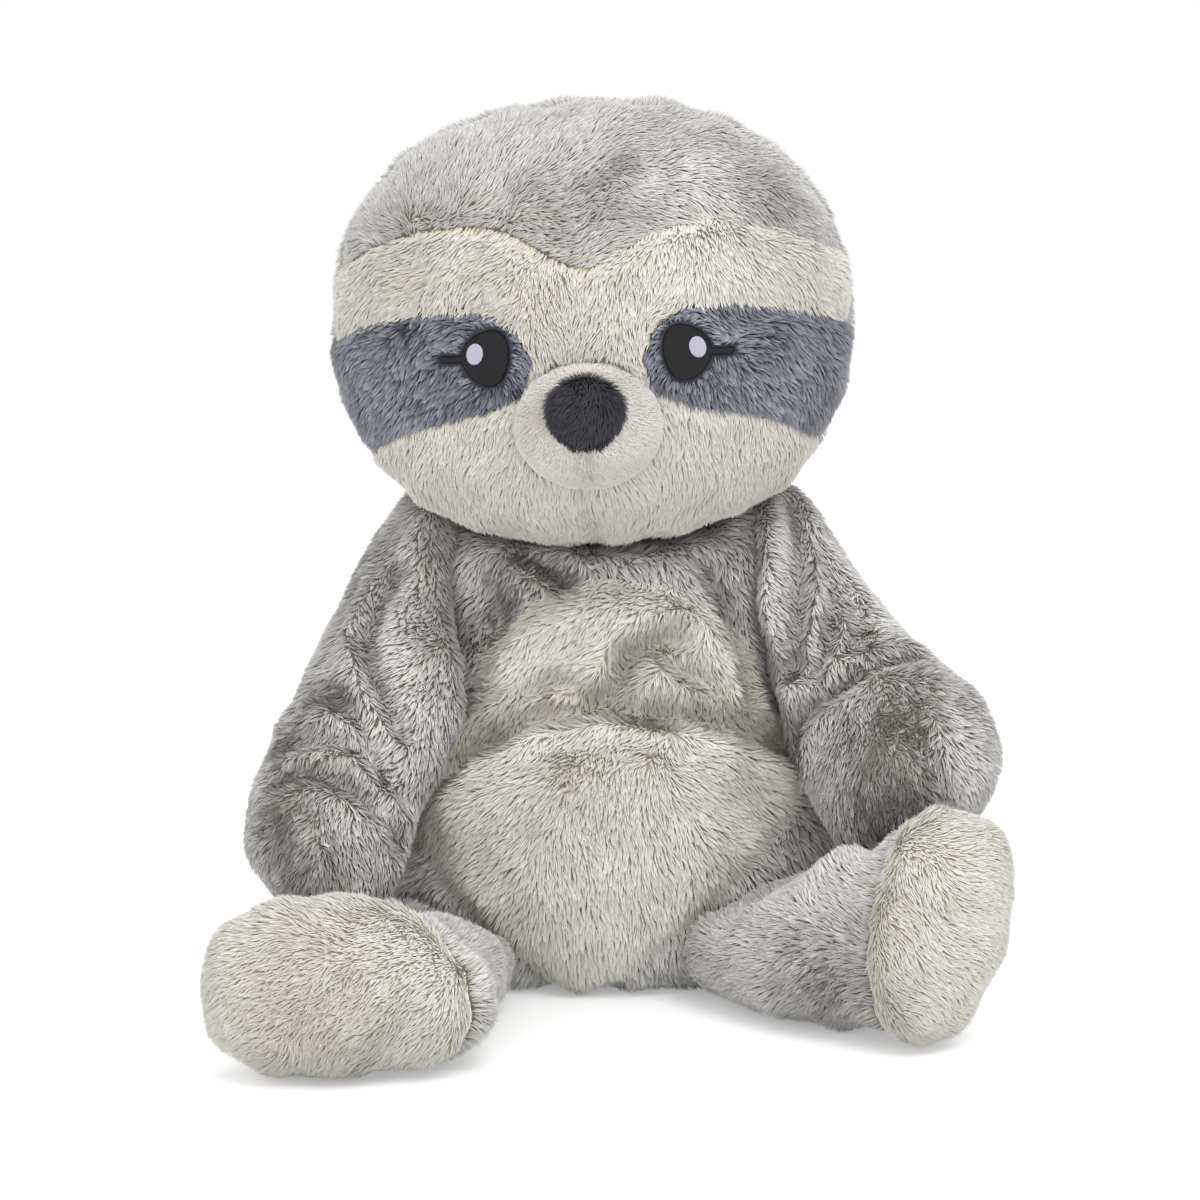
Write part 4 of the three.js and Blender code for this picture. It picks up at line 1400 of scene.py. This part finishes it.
def clear_bed(roots, ups, nap, shade):
    """The bed of a head panel, without what the eyes and the muzzle cover."""
    eye, outwards = round_the_eyes(roots)
    pull = np.exp(-np.maximum(eye, 0) / EYE_PULL)
    nap = unit(nap) + outwards * (pull * EYE_PUSH)[:, None]
    cut = 1 - EYE_CUT * pull
    clear = (eye > EYE_MARGIN) & (muzzle_gap(roots) > SKIN_SINK + MUZZLE_MARGIN)
    return Bed(roots[clear], ups[clear], nap[clear], shade[clear], cut[clear])


print("nose at", NOSE_PLACE)

# %% [markdown]
# ## Dressing the bodies
#
# Every body gets its skins and their pile. A surface's faces go to the panel that is nearest to them, and
# so do the roots of the pile, which are sown over the whole surface to keep them even across the seams.
# Pile in a crease is painted darker, as painted shade, and pile on a narrow swell paler, as painted
# light.

# %% Dressing the bodies
# painted shade for each metre of crease depth, and painted light on narrow swells
FOLD_SHADE = 0.8 / (8 * MM)
SHADED_DEPTHS = (-4 * MM, 10 * MM)
BODY_SEEDS, PANEL_SEEDS = 1000, 20


def bed_of(body, node, index, seed):
    """The bed of one panel's pile."""
    surface = surfaces[body]
    corners, weights = sown(surface, recipe_for(node).spacing, np.random.default_rng(seed))
    mine = blended(panel_reach[body], corners, weights).argmin(axis=1) == index
    corners, weights = corners[mine], weights[mine]
    roots = blended(surface.places, corners, weights)
    ups = unit(blended(surface.normals(), corners, weights))
    depth = blended(crease_depth[body][:, None], corners, weights)[:, 0]
    # painted light and shade: the stroked patches, painted shade in creases and painted light on swells
    shade = stroked_and_shaded(roots, body) - FOLD_SHADE * depth.clip(*SHADED_DEPTHS)
    make = clear_bed if body == "head" else Bed
    return make(roots, ups, nap_of(node, roots), shade)


def dress(body, seed):
    surface = surfaces[body]
    label = panel_reach[body][surface.faces].mean(axis=1).argmin(axis=1)
    for index, node in enumerate(cover_nodes(body)):
        slot = SLOT_OF[node]
        skin = cut_panel(node + "_skin", surface, label == index, BACKINGS[slot])
        join(skin, body, node)
        own_seed = seed + PANEL_SEEDS * index
        bed = bed_of(body, node, index, own_seed)
        join(grow(node + "_pile", recipe_for(node), bed, own_seed), body)


for number, body in enumerate(BODY_NODES):
    dress(body, BODY_SEEDS * (number + 1))

# %% [markdown]
# ## Satin stitch
#
# Embroidery is made of thread laid side by side. The fill runs across the eye, and a raised border of
# short stitches runs round it and holds the edge down. Each of these functions gives the height of a
# stitched shape from how deep inside its outline a place is, with a ridge for every thread.

# %% Satin stitch
THREAD_PITCH = 0.44 * MM
THREAD_RIDGE = 0.14 * MM
PAD_HEIGHT, PAD_EDGE = 1.55 * MM, 0.35 * MM
RIM_HEIGHT, RIM_MIDDLE, RIM_SPREAD = 0.5 * MM, 0.85 * MM, 0.6 * MM
FILL_SLANT, FILL_WAVE, FILL_WAVE_SIZE = 0.35, 0.3 * MM, 1.7 * MM
LASH_HEIGHT = 2.1 * MM
DOT_HEIGHT, DOT_EDGE = 0.35 * MM, 0.3 * MM


def ridges(way):
    return np.abs(np.sin(way * math.pi / THREAD_PITCH))


def domed(depth, height, edge):
    return height * (1 - np.exp(-depth / edge))


def pad_height(depth, way, flat):
    """A stitched patch: a raised border of threads square to the edge, round a flatter fill."""
    hump = np.exp(-(((depth - RIM_MIDDLE) / RIM_SPREAD) ** 2))
    wave = FILL_WAVE * np.sin(flat[:, 0] / FILL_WAVE_SIZE)
    fill = ridges(flat[:, 0] * FILL_SLANT + flat[:, 1] + wave)
    thread = np.where(depth < RIM_MIDDLE + RIM_SPREAD, ridges(way), fill)
    return domed(depth, PAD_HEIGHT, PAD_EDGE) + RIM_HEIGHT * hump + THREAD_RIDGE * thread


def lash_height(depth, way, flat):
    """A bar of threads laid across it."""
    share = np.clip(depth / (LASH_WIDTH / 2 * MM), 0, 1)
    return LASH_HEIGHT * np.sqrt(1 - (1 - share) ** 2) + THREAD_RIDGE * ridges(flat[:, 0])


def dot_height(depth, way, flat):
    return domed(depth, DOT_HEIGHT, DOT_EDGE) + THREAD_RIDGE * ridges(flat[:, 0])


print("threads in an eye", int(np.ptp(EYE_OUTLINE[:, 1]) / THREAD_PITCH))

# %% [markdown]
# ## Stitched patches
#
# A stitched patch is a fine sheet over the head's skin. A grid on the paper is cut to the outline, its
# edge is drawn onto it, and every place is laid on the head and raised by its stitches. The threads
# are too fine to model one by one, and a bump alone would leave the eye flat from the side.

# %% Stitched patches
STITCH_GRID = 0.15 * MM


def stitched_patch(name, plane, parts, ground, finish):
    """A sheet over the outlines, each of which comes with its own height."""
    low = np.min([outline.min(axis=0) for outline, _ in parts], axis=0) - STITCH_GRID * 2
    high = np.max([outline.max(axis=0) for outline, _ in parts], axis=0) + STITCH_GRID * 2
    columns, rows = (np.arange(a, b, STITCH_GRID) for a, b in zip(low, high))
    flat = np.stack(np.meshgrid(columns, rows), axis=2).reshape(-1, 2)
    measured = [outline_reach(flat, outline) for outline, _ in parts]
    closest = np.argmin([reach for reach, _, _ in measured], axis=0)
    gap = np.choose(closest, [reach for reach, _, _ in measured])
    grid = np.arange(len(flat)).reshape(len(rows), len(columns))
    cells = np.stack([grid[:-1, :-1], grid[:-1, 1:], grid[1:, 1:], grid[1:, :-1]], axis=2).reshape(-1, 4)
    edge = np.choose(closest[:, None], [nearest for _, nearest, _ in measured])
    flat = np.where(gap[:, None] > 0, edge, flat)
    heights = [
        np.where(reach < 0, height(np.maximum(-reach, 0), way, flat), 0)
        for (reach, _, way), (_, height) in zip(measured, parts)
    ]
    used, cells = used_only(cells[(gap[cells] < 0).any(axis=1)])
    places = plane.lifted(flat[used], ground, np.max(heights, axis=0)[used])
    return backed(linked(name, smooth_mesh(name, places, cells[:, :: plane.sign]), finish))


print("grid", STITCH_GRID / MM, "mm")

# %% [markdown]
# ## Eyes
#
# Each eye is stitched in black thread with one long lash, and a pale highlight is stitched on top of
# it. The highlight is laid on the finished eye, not on the head, so it never sinks into the black.

# %% Eyes
THREAD_GRAIN = 2200.0
THREAD_BUMP = 0.06 * MM
THREAD_BUMP_SHARE = 0.5


def thread_finish(name, deep, pale):
    finish = Finish(name, Roughness=0.6, Specular_IOR_Level=0.2)
    finish.grain(finish.noise(THREAD_GRAIN), deep, pale, THREAD_BUMP, THREAD_BUMP_SHARE)
    return finish


black_thread = thread_finish("black_thread", "070708", "202023")
pale_thread = thread_finish("pale_thread", "8e8b9a", "b4b1c0")


def embroider(side):
    """An eye with its lash, and the highlight on it."""
    plane = FACE_PLANES[side]
    parts = [(EYE_OUTLINE, pad_height), (LASH_OUTLINE, lash_height)]
    head = surfaces["head"].ground()
    eye = stitched_patch(side + "_eye_stitches", plane, parts, head, black_thread)
    join(eye, "head", side + "_eye_embroidery")
    parts = [(HIGHLIGHT_OUTLINE + HIGHLIGHT_SPOT, dot_height)]
    ground = ground_of(*mesh_arrays(eye.data))
    dot = stitched_patch(side + "_highlight_stitches", plane, parts, ground, pale_thread)
    join(dot, "head", side + "_eye_highlight")
    print(eye.name, len(eye.data.polygons), "faces,", dot.name, len(dot.data.polygons))


for side in FACE_PLANES:
    embroider(side)

# %% [markdown]
# ## Pile of the face trim
#
# The muzzle and the nose are small closed skins of their own. Their pile leans away from one place, and a
# seam runs down from the nose, where the pile parts and its tint is darkened as painted shade. Neither
# skin nor pile is made where the piece beneath would hide it.

# %% Pile of the face trim
MUZZLE_SEAM = [(-3, -136, 246), (-3, -133, 239), (-3, -128, 233), (-3, -121, 227), (-3, -108, 221)]
SEAM_SHADE = 0.7
SEAM_SHADE_WIDTH = 0.55 * MM


def beyond(node, gap):
    """A test for places that are further than the gap from a CAD node."""
    return lambda places: node_distances(places, [node])[:, 0] > gap


def trim_pile(name, recipe, surface, kept, nap_from, seed):
    """The pile of a small piece, which leans away from a place."""
    corners, weights = sown(surface, recipe.spacing, np.random.default_rng(seed))
    roots = blended(surface.places, corners, weights)
    ups = unit(blended(surface.normals(), corners, weights))
    mine = kept(roots)
    roots, ups = roots[mine], ups[mine]
    seam = line_distance(roots, MUZZLE_SEAM)
    # painted shade along the seam of the muzzle
    shade = -SEAM_SHADE * np.exp(-((seam / SEAM_SHADE_WIDTH) ** 2))
    bed = Bed(roots, ups, roots - np.array(nap_from) * MM, shade)
    join(grow(name, recipe, bed, seed), "head")


print("seam of the muzzle through", len(MUZZLE_SEAM), "places")

# %% [markdown]
# ## Muzzle
#
# The muzzle is velour, whose pile is only a millimetre and a half, so it looks smooth with a fine
# grain. It is one cushion sewn onto the face, and is made as one surface round its skin and filling.
# Its seam is a shallow valley under the pile.

# %% Muzzle
MUZZLE_VOXEL = 1.6 * MM
MUZZLE_ROUNDS = 24
MUZZLE_SINK = 0.7 * MM
MUZZLE_SEAM_WIDTH, MUZZLE_SEAM_DEPTH = 2.0 * MM, 1.8 * MM
MUZZLE_FACE_GAP = 1.0 * MM
MUZZLE_NAP_FROM = (-2, -110, 256)
VELOUR_SIZES = dict(length=1.7, width=0.55, spacing=0.6, lean=48, gather=0.25, lock=1.4, crush=0)


def make_muzzle():
    surface = fused(["muzzle_cover", "muzzle_stuffing"], MUZZLE_VOXEL).largest()
    surface.relax(MUZZLE_ROUNDS)
    reach = line_distance(surface.places, MUZZLE_SEAM) / MUZZLE_SEAM_WIDTH
    surface.sink(MUZZLE_SEAM_DEPTH * np.exp(-(reach**2)))
    surface.sink(MUZZLE_SINK)
    surfaces["muzzle"] = surface
    outside = beyond("face_panel", MUZZLE_FACE_GAP)
    kept = outside(surface.places)[surface.faces].all(axis=1)
    # the velour backing's colour is painted shade for the depth of the pile
    skin = cut_panel("muzzle_skin", surface, kept, backing_finish("velour_backing", "b9b3aa"))
    join(skin, "head", "muzzle_cover")
    # the first colour, the root's, is painted shade for the depth of the pile
    finish = pile_finish("velour_pile", "b3ada4", "d6d2cb", "f3f1ed")
    recipe = Recipe(finish, "velour_cream", **VELOUR_SIZES)
    trim_pile("muzzle_pile", recipe, surface, outside, MUZZLE_NAP_FROM, seed=71)


make_muzzle()

# %% [markdown]
# ## Nose
#
# The nose is long black plush over a little cushion, wide at its top and narrower towards its foot. A
# smooth black knob would be simpler, but its fuzzy edge shows against the pale muzzle, so it gets a
# pile of its own, pressed down from its top.

# %% Nose
NOSE_VOXEL = 1.3 * MM
NOSE_ROUNDS = 12
NOSE_SINK = 1.3 * MM
NOSE_TAPER = 0.1
NOSE_STRETCH = 1.08
NOSE_WIDENING = 1.07
NOSE_MUZZLE_GAP = 0.4 * MM
NOSE_NAP_FROM = (-2, -112, 290)
NOSE_SIZES = dict(length=3.6, width=0.7, spacing=0.62, lean=55, gather=0.4, lock=2.0, crush=0)


def whole(name, surface, finish):
    """A closed surface as an object."""
    return linked(name, smooth_mesh(name, surface.places, surface.faces), finish)


def make_nose():
    surface = fused(["nose"], NOSE_VOXEL).largest()
    surface.relax(NOSE_ROUNDS)
    low, high = surface.places.min(axis=0), surface.places.max(axis=0)
    share = (surface.places[:, 2] - low[2]) / (high[2] - low[2])
    heart = (low[0] + high[0]) / 2
    narrowed = NOSE_WIDENING - 2 * NOSE_TAPER * (1 - share) ** 2
    surface.places[:, 0] = heart + (surface.places[:, 0] - heart) * narrowed
    surface.places[:, 2] = high[2] - (high[2] - surface.places[:, 2]) * NOSE_STRETCH
    surface.sink(NOSE_SINK)
    # the nose backing's colour is painted shade for the depth of the pile
    skin = whole("nose_skin", surface, backing_finish("black_backing", "141416"))
    join(skin, "head", "nose")
    # the first colour, the root's, is painted shade for the depth of the pile
    finish = pile_finish("black_pile", "0d0d0f", "26262a", "4a4a52")
    recipe = Recipe(finish, "plush_black", **NOSE_SIZES)
    outside = beyond("muzzle_cover", NOSE_MUZZLE_GAP)
    trim_pile("nose_pile", recipe, surface, outside, NOSE_NAP_FROM, seed=72)


make_nose()

# %% [markdown]
# ## Pressed inside
#
# What lies inside a skin takes the shape that the skin presses it into. Every place of it that comes
# too near its skin is moved back, and smoothing between the rounds of pressing leaves no dents.

# %% Pressed inside
FILLING_ROUNDS = 3


def pressed_inside(surface, skin, gap):
    """Moves every place of a surface to at least the gap below a skin."""
    ground = skin.ground()
    hits = [ground.find_nearest(place) for place in surface.places.tolist()]
    nearest = np.array([hit[0][:] for hit in hits])
    facing = np.array([hit[1][:] for hit in hits])
    depth = ((nearest - surface.places) * facing).sum(axis=1)
    surface.places = surface.places - facing * np.maximum(gap - depth, 0)[:, None]


def settle(surface, skin, gap):
    """Smooths a surface and presses it inside its skin by turns."""
    for _ in range(FILLING_ROUNDS):
        surface.relax(1)
        pressed_inside(surface, skin, gap)


print("pressed in", FILLING_ROUNDS, "rounds")

# %% [markdown]
# ## Filling
#
# Inside the skins lies white fibre wadding, which is soft and lumpy. It is made from its CAD solid,
# sunk by its lumps and by the folds of the skin over it, and pressed inside that skin. Its curled
# fibres are too fine for geometry and are left to the finish.

# %% Filling
FILLING_VOXEL, MUZZLE_FILLING_VOXEL = 3.0 * MM, 1.8 * MM
FILLING_SMOOTHING = 10
FILLING_GAP = 1.1 * MM
FILLING_LUMPS = 0.8 * MM
LUMP_SIZE, SMALL_LUMP_SIZE, SMALL_LUMP_SHARE = 16 * MM, 7 * MM, 0.6
FIBRE_CURL = (260.0, 6.0)
FIBRE_DEPTH = 1.2 * MM
white_fibre = Finish("white_fibre", Roughness=1.0, Specular_IOR_Level=0.1, Sheen_Weight=0.4)
white_fibre.grain(white_fibre.noise(*FIBRE_CURL), "d8d5cc", "fbfaf6", FIBRE_DEPTH)


def nodes_ending(word):
    return [(node, body) for body, nodes in BODY_NODES.items() for node in nodes if node.endswith(word)]


def fill(node, body, skin):
    surface = fused([node], FILLING_VOXEL if body == skin else MUZZLE_FILLING_VOXEL)
    surface.relax(FILLING_SMOOTHING)
    lumps = drift(surface.places, LUMP_SIZE, seed=40)
    lumps = lumps + SMALL_LUMP_SHARE * drift(surface.places, SMALL_LUMP_SIZE, seed=41)
    if skin in FOLDS:
        lumps = lumps + sum(pressed(surface.places, skin)).clip(0, None) / FILLING_LUMPS
    surface.sink(FILLING_LUMPS * (1 + lumps))
    surface.places = sagged(surface.places, skin)
    settle(surface, surfaces[skin], SKIN_THICKNESS + FILLING_GAP)
    join(whole(node + "_fibre", surface, white_fibre), body, node)
    print(node, len(surface.faces), "faces")


for node, body in nodes_ending("_stuffing"):
    fill(node, body, "muzzle" if node == "muzzle_stuffing" else body)

# %% [markdown]
# ## Pouch cloth and glass
#
# The weight of the toy is glass beads in sewn cotton pouches. The cotton is a plain weave, two sets of
# bands that cross. The beads are clear glass with a faint tint.

# %% Pouch cloth and glass
WEAVE_SCALE = 500.0
WEAVE_DEPTH = 0.15 * MM


pouch_cloth = Finish("pouch_cloth", Roughness=0.9, Specular_IOR_Level=0.25)
weft, warp = (pouch_cloth.bands(direction, WEAVE_SCALE) for direction in "XZ")
pouch_cloth.grain(weft * 0.5 + warp * 0.5, "c9c6bc", "e6e4dc", WEAVE_DEPTH)
glass_beads = Finish(
    "glass_beads", Base_Color=paint("d5e0e3"), Roughness=0.12, Transmission_Weight=0.7, IOR=1.5
)
print("weave", WEAVE_SCALE)

# %% [markdown]
# ## Beads
#
# A pouch holds thousands of beads, but only the outer ones can be seen through a seam or a tear. A heap
# is a core with round beads all over its outside, which keeps it light.

# %% Beads
BEAD_SIZE = 2.6 * MM
BEAD_SPACING = 2.5 * MM


def ball():
    """A small round bead: its corners and faces."""
    mesh = bpy.data.meshes.new("bead")
    work = bmesh.new()
    bmesh.ops.create_icosphere(work, subdivisions=1, radius=BEAD_SIZE / 2)
    work.to_mesh(mesh)
    work.free()
    return mesh_arrays(mesh)


BALL_PLACES, BALL_FACES = ball()


def bead_mass(name, surface, seed):
    """A heap of beads: round ones all over its outside, on a core."""
    corners, weights = sown(surface, BEAD_SPACING, np.random.default_rng(seed))
    centres = blended(surface.places, corners, weights)
    balls = (centres[:, None] + BALL_PLACES).reshape(-1, 3)
    faces = (np.arange(len(centres))[:, None, None] * len(BALL_PLACES) + BALL_FACES).reshape(-1, 3)
    places = np.concatenate([balls, surface.places])
    core = surface.faces + len(balls)
    return linked(name, smooth_mesh(name, places.tolist(), faces.tolist() + core.tolist()), glass_beads)


print("faces of a bead", len(BALL_FACES))

# %% [markdown]
# ## Bead pouches
#
# There is one pouch in the seat, and one in each hand and foot. A pouch is two cloth halves with a seam
# round their edge, full of beads, which lie close and press small bumps into the cloth. Like the skins,
# its halves are cut from one fused surface. Its depths and bumps are written in millimetres.

# %% Bead pouches
POUCH_VOXEL = 2.0 * MM
POUCH_ROUNDS = 12
POUCH_SINK = 0.6
POUCH_SEAM_WIDTH, POUCH_SEAM_DEPTH = 3 * MM, 1.2
BUMP, BUMP_SIZE, SLUMP, SLUMP_SIZE = 0.25, 4 * MM, 0.3, 14 * MM
POUCH_GAP = SKIN_THICKNESS + FILLING_GAP / 2
BEAD_GAP = 0.3 * MM


def make_pouch(beads, body, seed):
    halves = [beads.replace("_beads", end) for end in ("_pouch_front", "_pouch_back")]
    surface = fused([beads, *halves], POUCH_VOXEL).largest()
    surface.relax(POUCH_ROUNDS)
    reach = node_distances(surface.places, halves)
    seam = np.exp(-((reach.max(axis=1) / POUCH_SEAM_WIDTH) ** 2))
    bumps = BUMP * drift(surface.places, BUMP_SIZE, seed)
    bumps = bumps + SLUMP * drift(surface.places, SLUMP_SIZE, seed + 1)
    surface.sink((POUCH_SINK + bumps) * MM + seam * POUCH_SEAM_DEPTH * MM)
    settle(surface, surfaces[body], POUCH_GAP)
    label = reach[surface.faces].mean(axis=1).argmin(axis=1)
    for index, node in enumerate(halves):
        cloth = cut_panel(node + "_cloth", surface, label == index, pouch_cloth)
        join(cloth, body, node)
    room = SKIN_THICKNESS + BEAD_SIZE / 2 + BEAD_GAP
    surface.sink(room)
    pressed_inside(surface, surfaces[body], POUCH_GAP + room)
    heap = bead_mass(beads + "_heap", surface, seed)
    join(heap, body, beads)
    print(beads, len(heap.data.polygons), "faces")


for node, body in nodes_ending("_beads"):
    make_pouch(node, body, seed=90)
